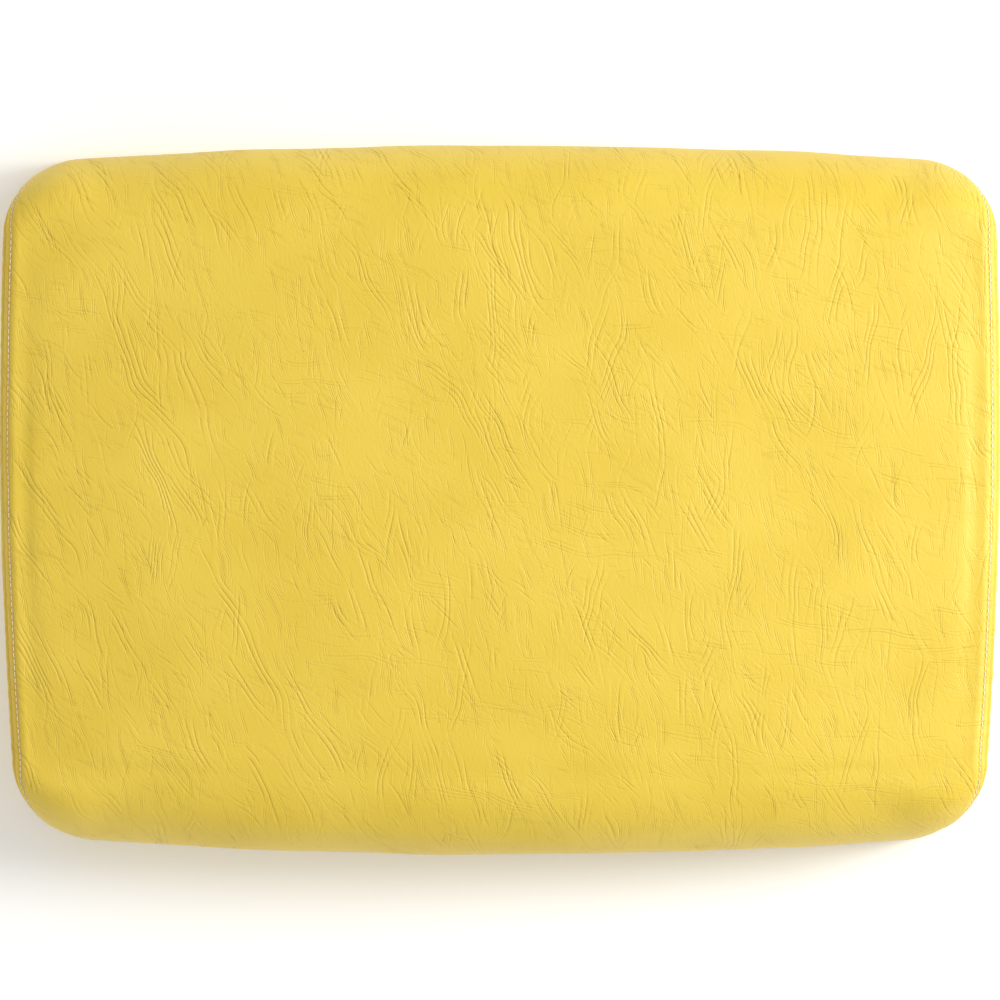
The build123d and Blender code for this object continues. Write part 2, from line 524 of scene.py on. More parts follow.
@dataclass
class CoverCloth:
    """The three panels sewn into one closed skin and inflated as cloth over the padding."""

    layout: CoverLayout
    start_inset: float = 1.5 * MM
    cap: float = 4.0 * MM
    leeway: float = 0.8 * MM
    rounds: int = 14
    frames: int = 14
    held_below: float = 16 * MM
    free_above: float = 34 * MM
    pressure: float = 2.5
    tension: float = 60.0
    shear: float = 30.0
    bending: float = 6.0
    quality: int = 4

    def laid_out(self) -> Panels:
        """The panels with their hems, laid a little inside the form."""
        layout = self.layout
        main = layout.main_panel(0.0)
        grids = [main, *(layout.end_panel(main[:, column], 0.0) for column in (0, -1))]
        inset = self.start_inset
        grids = [
            grid - layout.form.outward(grid) * (inset * self.freedom(grid[..., 2]))[..., None]
            for grid in grids
        ]
        front, rear = layout.turned_under(grids[0][0]), layout.turned_under(grids[0][-1])
        grids[0] = np.concatenate((front, grids[0], rear[::-1]))
        grids[1:] = [np.concatenate((layout.turned_under(grid[0]), grid)) for grid in grids[1:]]
        return Panels(*grids)

    def freedom(self, height: np.ndarray) -> np.ndarray:
        """From 0 where the cover is held to the board to 1 where the padding fills it."""
        return blend_step(height, self.held_below, self.free_above)

    def numbered(self, panels: Panels) -> tuple[np.ndarray, list[np.ndarray]]:
        """Gives each point of the skin one number, shared where panels are sewn together.

        Args:
            panels: The laid-out panels.

        Returns:
            All points, and one grid of numbers a panel.
        """
        main_numbers = np.arange(panels.main[..., 0].size).reshape(panels.main.shape[:2])
        points = [panels.main.reshape(-1, 3)]
        count = main_numbers.size
        numbers = [main_numbers]
        for grid, column in ((panels.left, 0), (panels.right, -1)):
            rows, columns = grid.shape[:2]
            own = np.full((rows, columns), -1)
            seam = main_numbers[:, column]
            own[:, 0] = seam[:rows]
            own[:, -1] = seam[::-1][:rows]
            own[-1] = seam[rows - 1 : len(seam) - rows + 1]
            free = own < 0
            own[free] = count + np.arange(free.sum())
            count += int(free.sum())
            points.append(grid[free])
            numbers.append(own)
        return np.concatenate(points), numbers

    def faces(self, numbers: list[np.ndarray]) -> list[tuple[int, ...]]:
        """The skin's faces, outwards, with the opening in the hem closed.

        Args:
            numbers: One grid of point numbers a panel.

        Returns:
            Tuples of point numbers.
        """
        main, left, right = numbers
        faces = quads_of(main, False) + quads_of(left, True) + quads_of(right, False)
        hem = (main[0], right[0][1:], main[-1][::-1][1:], left[0][::-1][1:-1])
        faces.append(tuple(np.concatenate(hem)[::-1].tolist()))
        return faces

    def inflated(self) -> Panels:
        """Inflates the skin and gives the panels back.

        Returns:
            The panels as the cloth leaves them.
        """
        panels = self.laid_out()
        points, numbers = self.numbered(panels)
        faces = self.faces(numbers)
        points = self.simulate(points, faces)
        form = self.layout.form
        off = form.distance(points)
        kept = self.leeway * np.tanh(self.eased(off, faces) / self.leeway) - off
        share = self.freedom(points[:, 2])
        points = points + form.outward(points) * (kept * share)[:, None]
        size = np.array([form.width / 2, form.depth / 2, form.height])
        reach = points.max(axis=0)
        points = points * (1 + (size / reach - 1) * share[:, None])
        return Panels(*(points[grid] for grid in numbers))

    def eased(self, values: np.ndarray, faces: list[tuple[int, ...]]) -> np.ndarray:
        """Averages a value with its neighbours' so that no kink stays in it.

        Args:
            values: A value a point.
            faces: The skin's faces.

        Returns:
            The averaged values.
        """
        pairs = [pair for face in faces for pair in zip(face, face[1:] + face[:1])]
        here, there = np.vstack((pairs, [pair[::-1] for pair in pairs])).T
        count = np.bincount(here, minlength=len(values))
        for _ in range(self.rounds):
            around = np.bincount(here, values[there], minlength=len(values)) / count
            values = (values + around) / 2
        return values

    def simulate(self, points: np.ndarray, faces: list[tuple[int, ...]]) -> np.ndarray:
        """Runs the cloth.

        Args:
            points: The skin's points.
            faces: The skin's faces.

        Returns:
            The points after the last frame, none moved further than the cap.
        """
        skin = new_piece("cover_skin", points, faces)
        held = skin.vertex_groups.new(name="held")
        freedom = self.freedom(points[:, 2])
        for number in np.flatnonzero(freedom < 1).tolist():
            held.add([number], float(1 - freedom[number]), "REPLACE")
        cloth = skin.modifiers.new("cloth", "CLOTH").settings
        cloth.vertex_group_mass = "held"
        cloth.effector_weights.gravity = 0
        cloth.use_pressure = True
        cloth.uniform_pressure_force = self.pressure
        cloth.tension_stiffness = cloth.compression_stiffness = self.tension
        cloth.shear_stiffness = self.shear
        cloth.bending_stiffness = self.bending
        cloth.quality = self.quality
        scene = bpy.context.scene
        skin.modifiers["cloth"].point_cache.frame_end = self.frames
        for number in range(1, self.frames + 1):
            scene.frame_set(number)
        done = skin.evaluated_get(bpy.context.evaluated_depsgraph_get()).to_mesh()
        moved = np.empty(len(points) * 3)
        done.vertices.foreach_get("co", moved)
        scene.frame_set(1)
        bpy.data.objects.remove(skin)
        shift = moved.reshape(-1, 3) - points
        length = np.linalg.norm(shift, axis=1, keepdims=True)
        log.info("the cover swelled by %.1f mm at most", length.max() / MM)
        return points + shift * np.minimum(1, self.cap / np.maximum(length, 1e-9))


# Shader and displacement patterns ----------------------------------------------------------------


class NodeSketch:
    """Adds nodes to a tree in a few words. It serves shader trees and geometry trees alike."""

    def __init__(self, tree: bpy.types.NodeTree) -> None:
        """Keeps the tree."""
        self.tree = tree

    def add(self, kind: str, **settings: object) -> bpy.types.Node:
        """Adds a node and sets its properties.

        Args:
            kind: The node's type name.
            **settings: Properties of the node.

        Returns:
            The node.
        """
        node = self.tree.nodes.new(kind)
        for name, value in settings.items():
            setattr(node, name, value)
        return node

    def feed(self, socket: bpy.types.NodeSocket, value: object) -> None:
        """Links a socket to another, or gives it a plain value."""
        if isinstance(value, bpy.types.NodeSocket):
            self.tree.links.new(value, socket)
        else:
            socket.default_value = value

    def math(self, operation: str, *values: object, clamp: bool = False) -> bpy.types.NodeSocket:
        """A math node's result.

        Args:
            operation: Such as MULTIPLY.
            *values: Sockets or numbers.
            clamp: Whether the result is kept between 0 and 1.

        Returns:
            The result's socket.
        """
        node = self.add("ShaderNodeMath", operation=operation, use_clamp=clamp)
        for socket, value in zip(node.inputs, values):
            self.feed(socket, value)
        return node.outputs[0]

    def vector(self, operation: str, *values: object) -> bpy.types.NodeSocket:
        """A vector math node's vector result.

        Args:
            operation: Such as ADD.
            *values: Sockets or triples.

        Returns:
            The result's socket.
        """
        node = self.add("ShaderNodeVectorMath", operation=operation)
        for socket, value in zip(node.inputs, values):
            self.feed(socket, value)
        return node.outputs[0]

    def scaled(self, value: object, factor: object) -> bpy.types.NodeSocket:
        """A vector times a number."""
        node = self.add("ShaderNodeVectorMath", operation="SCALE")
        self.feed(node.inputs[0], value)
        self.feed(node.inputs["Scale"], factor)
        return node.outputs[0]

    def remap(self, value: object, *limits: float) -> bpy.types.NodeSocket:
        """A smooth step between two levels.

        Args:
            value: The socket to map.
            *limits: From low, from high, to low, to high.

        Returns:
            The result's socket.
        """
        node = self.add("ShaderNodeMapRange", interpolation_type="SMOOTHSTEP")
        for socket, number in zip(node.inputs, (value, *limits)):
            self.feed(socket, number)
        return node.outputs[0]

    def noise(self, place: object, size: float, detail: float = 2, **more: float) -> bpy.types.Node:
        """A noise texture with features of about the given size in metres.

        Args:
            place: The coordinates, in metres.
            size: The features' size.
            detail: Octaves beyond the first.
            **more: Roughness or Distortion.

        Returns:
            The node, whose outputs are a number and a colour.
        """
        node = self.add("ShaderNodeTexNoise", noise_dimensions="3D")
        self.feed(node.inputs["Vector"], place)
        node.inputs["Scale"].default_value = 1 / size
        node.inputs["Detail"].default_value = detail
        for name, value in more.items():
            node.inputs[name].default_value = value
        return node

    def object_place(self) -> bpy.types.NodeSocket:
        """The Object coordinates, in metres."""
        return self.add("ShaderNodeTexCoord").outputs["Object"]

    def split(self, vector: object) -> bpy.types.NodeOutputs:
        """A vector's three numbers, as three sockets."""
        node = self.add("ShaderNodeSeparateXYZ")
        self.feed(node.inputs[0], vector)
        return node.outputs

    def turned(self, place: object, degrees: float) -> bpy.types.NodeSocket:
        """Coordinates turned about Z."""
        node = self.add("ShaderNodeVectorRotate", rotation_type="Z_AXIS")
        self.feed(node.inputs["Vector"], place)
        node.inputs["Angle"].default_value = math.radians(degrees)
        return node.outputs[0]


@dataclass(frozen=True)
class CreaseSet:
    """Creases that run one way in the vinyl's emboss. They are the contours of a drawn-out noise.

    Args:
        lean: Degrees that they lean from straight up, to the left at the top.
        breadth: Size of the noise across the creases.
        length: Size of the noise along them.
        count: How many contours the noise has. More stand closer together.
        width: Half the width of a crease.
        depth: How deep they are pressed.
        patch: Size of the patches where they show.
        sparse: From 0, everywhere, to 1, nowhere.
        drift: How much sparser they are at the right end than in the middle.
        shift: Offset that makes the set's pattern its own.
    """

    lean: float
    breadth: float
    length: float
    count: float
    width: float
    depth: float
    patch: float
    sparse: float
    drift: float
    shift: float


CREASES = (
    CreaseSet(23, 20 * MM, 72 * MM, 5.6, 0.34 * MM, 0.23 * MM, 36 * MM, 0.43, 0.05, 0.3),
    CreaseSet(36, 16 * MM, 52 * MM, 5.2, 0.31 * MM, 0.18 * MM, 32 * MM, 0.45, 0.07, 3.7),
    CreaseSet(-4, 19 * MM, 66 * MM, 5.6, 0.32 * MM, 0.19 * MM, 38 * MM, 0.44, -0.07, 8.1),
    CreaseSet(80, 12 * MM, 48 * MM, 5.2, 0.27 * MM, 0.13 * MM, 46 * MM, 0.45, -0.06, 13.9),
    CreaseSet(12, 7 * MM, 28 * MM, 5.2, 0.25 * MM, 0.14 * MM, 30 * MM, 0.32, 0.00, 21.3),
    CreaseSet(62, 6 * MM, 20 * MM, 5.0, 0.24 * MM, 0.12 * MM, 28 * MM, 0.42, 0.03, 31.7),
)


WANDER_SIZE, WANDER = 34 * MM, 9 * MM
SLOPE_STEP = 0.25 * MM
FADED_SLOPE, FULL_SLOPE = 0.18, 0.70
LINE_SPREAD = 2.2
LIP_HEIGHT = 0.45
PATCH_START, PATCH_END = -0.03, 0.12
DRIFT_REACH = 0.25


def draw_creases(sketch: NodeSketch, place: bpy.types.NodeSocket) -> bpy.types.NodeSocket:
    """Draws the pressed creases of the vinyl's emboss.

    Args:
        sketch: The tree to draw in.
        place: Coordinates on the flat vinyl, in metres.

    Returns:
        A socket with the depth in metres. It is a little below 0 on the lips beside the creases.
    """
    wander = sketch.noise(place, WANDER_SIZE, 1).outputs[1]
    wander = sketch.scaled(sketch.vector("SUBTRACT", wander, (0.5, 0.5, 0.5)), WANDER)
    bent = sketch.vector("ADD", place, wander)
    split = sketch.split(place)
    total: object = 0.0
    for crease in CREASES:
        turned = sketch.turned(bent, -crease.lean)
        levels = []
        for shift in (0.0, SLOPE_STEP):
            moved = sketch.vector("ADD", turned, (crease.shift + shift, crease.shift / 3, 0))
            drawn = sketch.vector("MULTIPLY", moved, (1 / crease.breadth, 1 / crease.length, 0))
            value = sketch.noise(drawn, 1.0, 1, Roughness=0.35).outputs[0]
            levels.append(sketch.math("MULTIPLY", value, 2 * crease.count))
        rise = sketch.math("DIVIDE", sketch.math("SUBTRACT", levels[1], levels[0]), SLOPE_STEP)
        slope = sketch.math("MAXIMUM", sketch.math("ABSOLUTE", rise), 1.0)
        usual = 2 * crease.count / crease.breadth
        steep = sketch.remap(slope, FADED_SLOPE * usual, FULL_SLOPE * usual, 0.0, 1.0)
        part = sketch.math("FRACT", levels[0])
        off = sketch.math("ABSOLUTE", sketch.math("SUBTRACT", part, 0.5))
        away = sketch.math("DIVIDE", off, slope)
        line = sketch.remap(away, 0.0, LINE_SPREAD * crease.width, 1.0, 0.0)
        lip = sketch.math("FRACT", sketch.math("ADD", part, 0.5))
        line = sketch.math("SUBTRACT", line, sketch.math("MULTIPLY", lip, LIP_HEIGHT))
        apart = sketch.vector("ADD", place, (crease.shift, 0, 0))
        patch = sketch.noise(apart, crease.patch, 3, Roughness=0.6).outputs[0]
        tilt = sketch.math("MULTIPLY", split[0], crease.drift / DRIFT_REACH)
        low, high = crease.sparse + PATCH_START, crease.sparse + PATCH_END
        shown = sketch.remap(sketch.math("SUBTRACT", patch, tilt), low, high, 0.0, 1.0)
        shown = sketch.math("MULTIPLY", shown, steep)
        depth = sketch.math("MULTIPLY", sketch.math("MULTIPLY", line, shown), crease.depth)
        total = sketch.math("ADD", total, depth)
    return total


def press_creases(piece: bpy.types.Object, share: float) -> None:
    """Presses the emboss into a panel's mesh with geometry nodes, and applies them.

    Args:
        piece: A panel with the Vinyl UV map and the emboss attribute.
        share: How much of the creases' depth the mesh takes. The finish adds the rest.
    """
    tree = bpy.data.node_groups.new("press_creases", "GeometryNodeTree")
    tree.interface.new_socket("Geometry", in_out="INPUT", socket_type="NodeSocketGeometry")
    tree.interface.new_socket("Geometry", in_out="OUTPUT", socket_type="NodeSocketGeometry")
    sketch = NodeSketch(tree)
    start, end = sketch.add("NodeGroupInput"), sketch.add("NodeGroupOutput")
    place = sketch.add("GeometryNodeInputNamedAttribute", data_type="FLOAT_VECTOR")
    place.inputs["Name"].default_value = "Vinyl"
    shown = sketch.add("GeometryNodeInputNamedAttribute", data_type="FLOAT")
    shown.inputs["Name"].default_value = "emboss"
    depth = sketch.math("MULTIPLY", draw_creases(sketch, place.outputs[0]), shown.outputs[0])
    normal = sketch.add("GeometryNodeInputNormal").outputs[0]
    offset = sketch.scaled(normal, sketch.math("MULTIPLY", depth, -share))
    move = sketch.add("GeometryNodeSetPosition")
    sketch.feed(move.inputs["Geometry"], start.outputs[0])
    sketch.feed(move.inputs["Offset"], offset)
    sketch.feed(end.inputs[0], move.outputs[0])
    modifier = piece.modifiers.new("creases", "NODES")
    modifier.node_group = tree
    apply_modifiers(piece)
    bpy.data.node_groups.remove(tree)


# Modelling steps that several pieces share -------------------------------------------------------


def only(piece: bpy.types.Object) -> bpy.types.Object:
    """Selects one piece and nothing else."""
    for other in bpy.context.selected_objects:
        other.select_set(False)
    piece.select_set(True)
    bpy.context.view_layer.objects.active = piece
    return piece


def apply_modifiers(piece: bpy.types.Object) -> None:
    """Applies every modifier of a piece, in order."""
    only(piece)
    for name in [modifier.name for modifier in piece.modifiers]:
        bpy.ops.object.modifier_apply(modifier=name)


def made(name: str) -> bpy.types.Object:
    """Names the piece that an operator has just added, and its mesh."""
    piece = bpy.context.object
    piece.name = piece.data.name = name
    return only(piece)


def new_piece(name: str, points: np.ndarray, faces: list) -> bpy.types.Object:
    """A piece from points and faces.

    Args:
        name: The piece's name.
        points: An array of shape (n, 3).
        faces: Lists of point numbers.

    Returns:
        The piece.
    """
    mesh = bpy.data.meshes.new(name)
    mesh.from_pydata(points.tolist(), [], faces)
    piece = bpy.data.objects.new(name, mesh)
    bpy.context.collection.objects.link(piece)
    return piece


def points_of(piece: bpy.types.Object) -> np.ndarray:
    """The piece's points as an array of shape (n, 3)."""
    flat = np.empty(len(piece.data.vertices) * 3)
    piece.data.vertices.foreach_get("co", flat)
    return flat.reshape(-1, 3)


def move_points(piece: bpy.types.Object, points: np.ndarray) -> None:
    """Gives the piece's points new places."""
    piece.data.vertices.foreach_set("co", points.ravel())
    piece.data.update()


def choose(piece: bpy.types.Object, chosen: np.ndarray) -> None:
    """Selects some of a piece's faces, and leaves it in edit mode.

    Args:
        piece: The piece.
        chosen: One true or false a face.
    """
    only(piece)
    bpy.ops.object.mode_set(mode="EDIT")
    bpy.ops.mesh.select_mode(type="FACE")
    bpy.ops.mesh.select_all(action="DESELECT")
    bpy.ops.object.mode_set(mode="OBJECT")
    piece.data.polygons.foreach_set("select", np.asarray(chosen, bool))
    bpy.ops.object.mode_set(mode="EDIT")


def face_middles(piece: bpy.types.Object) -> np.ndarray:
    """The middles of a piece's faces as an array of shape (n, 3)."""
    flat = np.empty(len(piece.data.polygons) * 3)
    piece.data.polygons.foreach_get("center", flat)
    return flat.reshape(-1, 3)


def cut_across(piece: bpy.types.Object, places: list, normal: tuple[float, float, float]) -> None:
    """Cuts edges into a piece at several planes.

    Args:
        piece: The piece.
        places: A point on each plane.
        normal: The planes' normal.
    """
    only(piece)
    bpy.ops.object.mode_set(mode="EDIT")
    for place in places:
        bpy.ops.mesh.select_all(action="SELECT")
        bpy.ops.mesh.bisect(plane_co=place, plane_no=normal)
    bpy.ops.object.mode_set(mode="OBJECT")


def keep_side(piece: bpy.types.Object, place: tuple, normal: tuple) -> None:
    """Cuts away what lies on the far side of a plane, and closes the cut.

    Args:
        piece: The piece.
        place: A point on the plane.
        normal: Points to the side that goes.
    """
    only(piece)
    bpy.ops.object.mode_set(mode="EDIT")
    bpy.ops.mesh.select_all(action="SELECT")
    bpy.ops.mesh.bisect(plane_co=place, plane_no=normal, use_fill=True, clear_outer=True)
    bpy.ops.object.mode_set(mode="OBJECT")


def repeated(name: str, model: bpy.types.Object, places: list[Matrix]) -> bpy.types.Object:
    """Copies a modelled shape to many places, as one piece, and removes the model.

    Args:
        name: The new piece's name.
        model: The shape, at the origin.
        places: One matrix a copy.

    Returns:
        The new piece.
    """
    points = points_of(model)
    faces = [tuple(face.vertices) for face in model.data.polygons]
    copies = [points @ np.array(m)[:3, :3].T + np.array(m)[:3, 3] for m in places]
    shifted = [
        [tuple(n + k * len(points) for n in face) for face in faces] for k in range(len(places))
    ]
    bpy.data.objects.remove(model)
    return new_piece(name, np.concatenate(copies), [face for part in shifted for face in part])


def hand_over(
    piece: bpy.types.Object,
    material: bpy.types.Material,
    replaces: tuple[str, ...] = (),
    smooth: float = 40.0,
) -> bpy.types.Object:
    """Finishes a piece: its shading, its material, its body and what it stands for.

    Args:
        piece: The piece.
        material: Its finish.
        replaces: The CAD nodes that it stands for.
        smooth: Edges sharper than this many degrees stay sharp.

    Returns:
        The piece.
    """
    only(piece)
    bpy.ops.object.shade_smooth_by_angle(angle=math.radians(smooth))
    piece.data.materials.clear()
    piece.data.materials.append(material)
    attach(piece, ROOT)
    if replaces:
        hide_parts(*replaces)
    log.info("%s: %d faces", piece.name, len(piece.data.polygons))
    return piece


# Finishes ----------------------------------------------------------------------------------------


def new_material(name: str) -> tuple[bpy.types.Material, NodeSketch, bpy.types.Node]:
    """An empty material with a Principled shader.

    Args:
        name: The material's name.

    Returns:
        The material, a sketch of its tree and its shader.
    """
    material = bpy.data.materials.new(name)
    material.use_nodes = True
    sketch = NodeSketch(material.node_tree)
    material.node_tree.nodes.clear()
    shader = sketch.add("ShaderNodeBsdfPrincipled")
    output = sketch.add("ShaderNodeOutputMaterial")
    sketch.feed(output.inputs["Surface"], shader.outputs[0])
    return material, sketch, shader


def set_plain(shader: bpy.types.Node, **values: object) -> None:
    """Gives sockets plain values. An underscore in a name stands for a space."""
    for name, value in values.items():
        shader.inputs[name.replace("_", " ")].default_value = value


def mixed(sketch: NodeSketch, share: object, first: object, second: object) -> bpy.types.NodeSocket:
    """A colour between two others.

    Args:
        sketch: The tree.
        share: From 0 for the first to 1 for the second.
        first: A colour or its socket.
        second: A colour or its socket.

    Returns:
        The colour's socket.
    """
    node = sketch.add("ShaderNodeMix", data_type="RGBA", clamp_factor=True)
    sketch.feed(node.inputs[0], share)
    for socket, colour in ((node.inputs[6], first), (node.inputs[7], second)):
        sketch.feed(socket, (*colour, 1.0) if isinstance(colour, tuple) else colour)
    return node.outputs[2]


def bumped(sketch: NodeSketch, shader: bpy.types.Node, height: bpy.types.NodeSocket) -> None:
    """Gives a shader a relief whose height is in metres."""
    bump = sketch.add("ShaderNodeBump")
    set_plain(bump, Strength=1.0, Distance=1.0)
    sketch.feed(bump.inputs["Height"], height)
    sketch.feed(shader.inputs["Normal"], bump.outputs[0])


def shared_group(name: str, inputs: tuple[str, ...], outputs: tuple[str, ...]) -> tuple:
    """A new shader group of number and vector sockets.

    Args:
        name: The group's name.
        inputs: Names of its inputs. Place is a vector, and the rest are numbers.
        outputs: Names of its outputs, all numbers.

    Returns:
        The tree, a sketch of it, its input node and its output node.
    """
    tree = bpy.data.node_groups.new(name, "ShaderNodeTree")
    for label in inputs:
        kind = "NodeSocketVector" if label == "Place" else "NodeSocketFloat"
        tree.interface.new_socket(label, in_out="INPUT", socket_type=kind)
    for label in outputs:
        tree.interface.new_socket(label, in_out="OUTPUT", socket_type="NodeSocketFloat")
    sketch = NodeSketch(tree)
    return tree, sketch, sketch.add("NodeGroupInput"), sketch.add("NodeGroupOutput")


class SharedEffects:
    """Shader groups that more than one finish uses."""

    def __init__(self) -> None:
        """Builds the groups."""
        self.open_cells = self.build_open_cells()
        self.rubbed_metal = self.build_rubbed_metal()

    def build_open_cells(self) -> bpy.types.NodeTree:
        """Open foam cells of a given size: a relief and a shadow mask."""
        names = ("Place", "Cells per Metre", "Depth")
        tree, sketch, start, end = shared_group("open_cells", names, ("Height", "Shade"))
        cells = sketch.add("ShaderNodeTexVoronoi", voronoi_dimensions="3D", feature="F1")
        sketch.feed(cells.inputs["Vector"], start.outputs["Place"])
        sketch.feed(cells.inputs["Scale"], start.outputs["Cells per Metre"])
        pore = sketch.remap(cells.outputs["Distance"], 0.10, 0.55, 0.0, 1.0)
        uneven = sketch.noise(start.outputs["Place"], 5 * MM, 3).outputs[0]
        depth = sketch.math("MULTIPLY", pore, start.outputs["Depth"])
        rise = sketch.math("MULTIPLY", uneven, start.outputs["Depth"])
        sketch.feed(end.inputs["Height"], sketch.math("ADD", depth, rise))
        shade = sketch.math("MULTIPLY", sketch.math("SUBTRACT", 1.0, pore), uneven)
        sketch.feed(end.inputs["Shade"], shade)
        return tree

    def build_rubbed_metal(self) -> bpy.types.NodeTree:
        """Fine rub marks and dull spots on plated wire and stampings."""
        tree, sketch, start, end = shared_group(
            "rubbed_metal", ("Place", "Dullness"), ("Roughness", "Tarnish", "Height")
        )
        spots = sketch.noise(start.outputs["Place"], 2.5 * MM, 4).outputs[0]
        fine = sketch.noise(start.outputs["Place"], 0.3 * MM, 2).outputs[0]
        dull = sketch.math("ADD", start.outputs["Dullness"], sketch.math("MULTIPLY", spots, 0.22))
        sketch.feed(end.inputs["Roughness"], dull)
        sketch.feed(end.inputs["Tarnish"], sketch.remap(spots, 0.50, 0.72, 0.0, 1.0))
        sketch.feed(end.inputs["Height"], sketch.math("MULTIPLY", fine, 0.012 * MM))
        return tree


@dataclass(frozen=True)
class VinylFinish:
    """Yellow upholstery vinyl with a creased emboss and a soft sheen, with painted shade in its
    creases and along its seams.
    """

    colour: Colour = (0.79, 0.560, 0.046)
    # painted shade: the colour that the creases' valleys are darkened towards
    crease: Colour = (0.58, 0.385, 0.022)
    light: Colour = (0.83, 0.600, 0.062)
    # painted shade: the colour of the seam's valley and of the stitching's groove
    seam: Colour = (0.66, 0.360, 0.018)

    def material(self) -> bpy.types.Material:
        """Builds the material. It reads the panels' Vinyl and Seam UV maps."""
        material, sketch, shader = new_material("yellow_vinyl")
        place = sketch.add("ShaderNodeUVMap", uv_map="Vinyl").outputs[0]
        creases = draw_creases(sketch, place)
        hairs = sketch.vector("MULTIPLY", sketch.turned(place, -14), (900.0, 210.0, 0.0))
        hair = sketch.noise(hairs, 1.0, 2, Distortion=0.6).outputs[0]
        pebble = sketch.noise(place, 1.5 * MM, 2, Roughness=0.6).outputs[0]
        lines = sketch.math("MULTIPLY", hair, 0.12 * MM)
        grain = sketch.math("ADD", lines, sketch.math("MULTIPLY", pebble, 0.12 * MM))
        patch = sketch.noise(sketch.vector("ADD", place, (3, 1, 0)), 34 * MM, 2).outputs[0]
        smooth = sketch.remap(patch, 0.36, 0.62, 0.45, 1.0)
        relief = sketch.math("MULTIPLY", grain, smooth)
        height = sketch.math("SUBTRACT", relief, sketch.math("MULTIPLY", creases, 0.75))
        bumped(sketch, shader, height)
        cloud = sketch.noise(place, 70 * MM, 3).outputs[0]
        ground = mixed(sketch, sketch.remap(cloud, 0.32, 0.68, 0.0, 1.0), self.colour, self.light)
        # Painted shade: the creases' valleys are darkened in colour, the more the deeper they are
        # pressed.
        deep = sketch.remap(creases, 0.0, 0.30 * MM, 0.0, 0.55)
        drawn = mixed(sketch, deep, ground, self.crease)
        seam = sketch.add("ShaderNodeUVMap", uv_map="Seam").outputs[0]
        split = sketch.split(seam)
        # Painted shade: darker colour in the valley beside the seam and along the stitching's
        # groove.
        close = sketch.remap(split[0], 0.0, 3.2 * MM, 0.75, 0.0)
        line = sketch.math("ABSOLUTE", sketch.math("SUBTRACT", split[0], Relief.stitch_inset))
        groove = sketch.remap(line, 0.2 * MM, 1.5 * MM, 0.55, 0.0)
        shade = sketch.math("MAXIMUM", close, groove)
        sketch.feed(shader.inputs["Base Color"], mixed(sketch, shade, drawn, self.seam))
        rough = sketch.math("MULTIPLY", pebble, 0.16)
        rough = sketch.math("ADD", rough, sketch.math("MULTIPLY", deep, 0.12))
        sketch.feed(shader.inputs["Roughness"], sketch.math("ADD", rough, 0.40))
        set_plain(shader, Specular_IOR_Level=0.55)
        return material


@dataclass(frozen=True)
class ThreadFinish:
    """Twisted cream sewing thread."""

    colour: Colour = (0.95, 0.87, 0.66)
    # painted shade: the colour of the gaps between the fibres
    shade: Colour = (0.72, 0.58, 0.36)

    def material(self) -> bpy.types.Material:
        """Builds the material."""
        material, sketch, shader = new_material("cream_thread")
        place = sketch.object_place()
        fibres = sketch.noise(place, 0.25 * MM, 3).outputs[0]
        shade_patches = sketch.noise(place, 9 * MM, 1).outputs[0]
        # Painted shade in the gaps between the fibres, stronger in patches along the thread.
        share = sketch.math("MULTIPLY", sketch.remap(fibres, 0.35, 0.7, 1.0, 0.0), shade_patches)
        sketch.feed(shader.inputs["Base Color"], mixed(sketch, share, self.colour, self.shade))
        bumped(sketch, shader, sketch.math("MULTIPLY", fibres, 0.05 * MM))
        set_plain(shader, Roughness=0.62, Sheen_Weight=0.25)
        return material


@dataclass(frozen=True)
class WaddingFinish:
    """White polyester wadding, all loose fibres."""

    colour: Colour = (0.86, 0.86, 0.84)
    shade: Colour = (0.60, 0.61, 0.62)

    def material(self) -> bpy.types.Material:
        """Builds the material."""
        material, sketch, shader = new_material("polyester_wadding")
        place = sketch.object_place()
        drift = sketch.noise(place, 12 * MM, 2).outputs[1]
        bent = sketch.vector("ADD", place, sketch.scaled(drift, 10 * MM))
        drawn = sketch.vector("MULTIPLY", bent, (1.0, 7.0, 2.0))
        fibres = sketch.noise(drawn, 4 * MM, 4).outputs[0]
        tufts = sketch.noise(place, 15 * MM, 3).outputs[0]
        share = sketch.remap(sketch.math("ADD", fibres, tufts), 0.8, 1.25, 1.0, 0.0)
        sketch.feed(shader.inputs["Base Color"], mixed(sketch, share, self.colour, self.shade))
        height = sketch.math("MULTIPLY", sketch.math("ADD", fibres, tufts), 0.9 * MM)
        bumped(sketch, shader, height)
        set_plain(shader, Roughness=0.95, Sheen_Weight=0.4)
        return material


@dataclass(frozen=True)
class FoamFinish:
    """Open-cell upholstery foam."""

    name: str
    colour: Colour
    shade: Colour
    cell: float

    def material(self, effects: SharedEffects) -> bpy.types.Material:
        """Builds the material around the shared cell pattern.

        Args:
            effects: The shared groups.

        Returns:
            The material.
        """
        material, sketch, shader = new_material(self.name)
        place = sketch.object_place()
        group = sketch.add("ShaderNodeGroup", node_tree=effects.open_cells)
        sketch.feed(group.inputs["Place"], place)
        set_plain(group, Cells_per_Metre=1 / self.cell, Depth=self.cell * 0.4)
        share = group.outputs["Shade"]
        sketch.feed(shader.inputs["Base Color"], mixed(sketch, share, self.colour, self.shade))
        bumped(sketch, shader, group.outputs["Height"])
        set_plain(shader, Roughness=0.9)
        return material


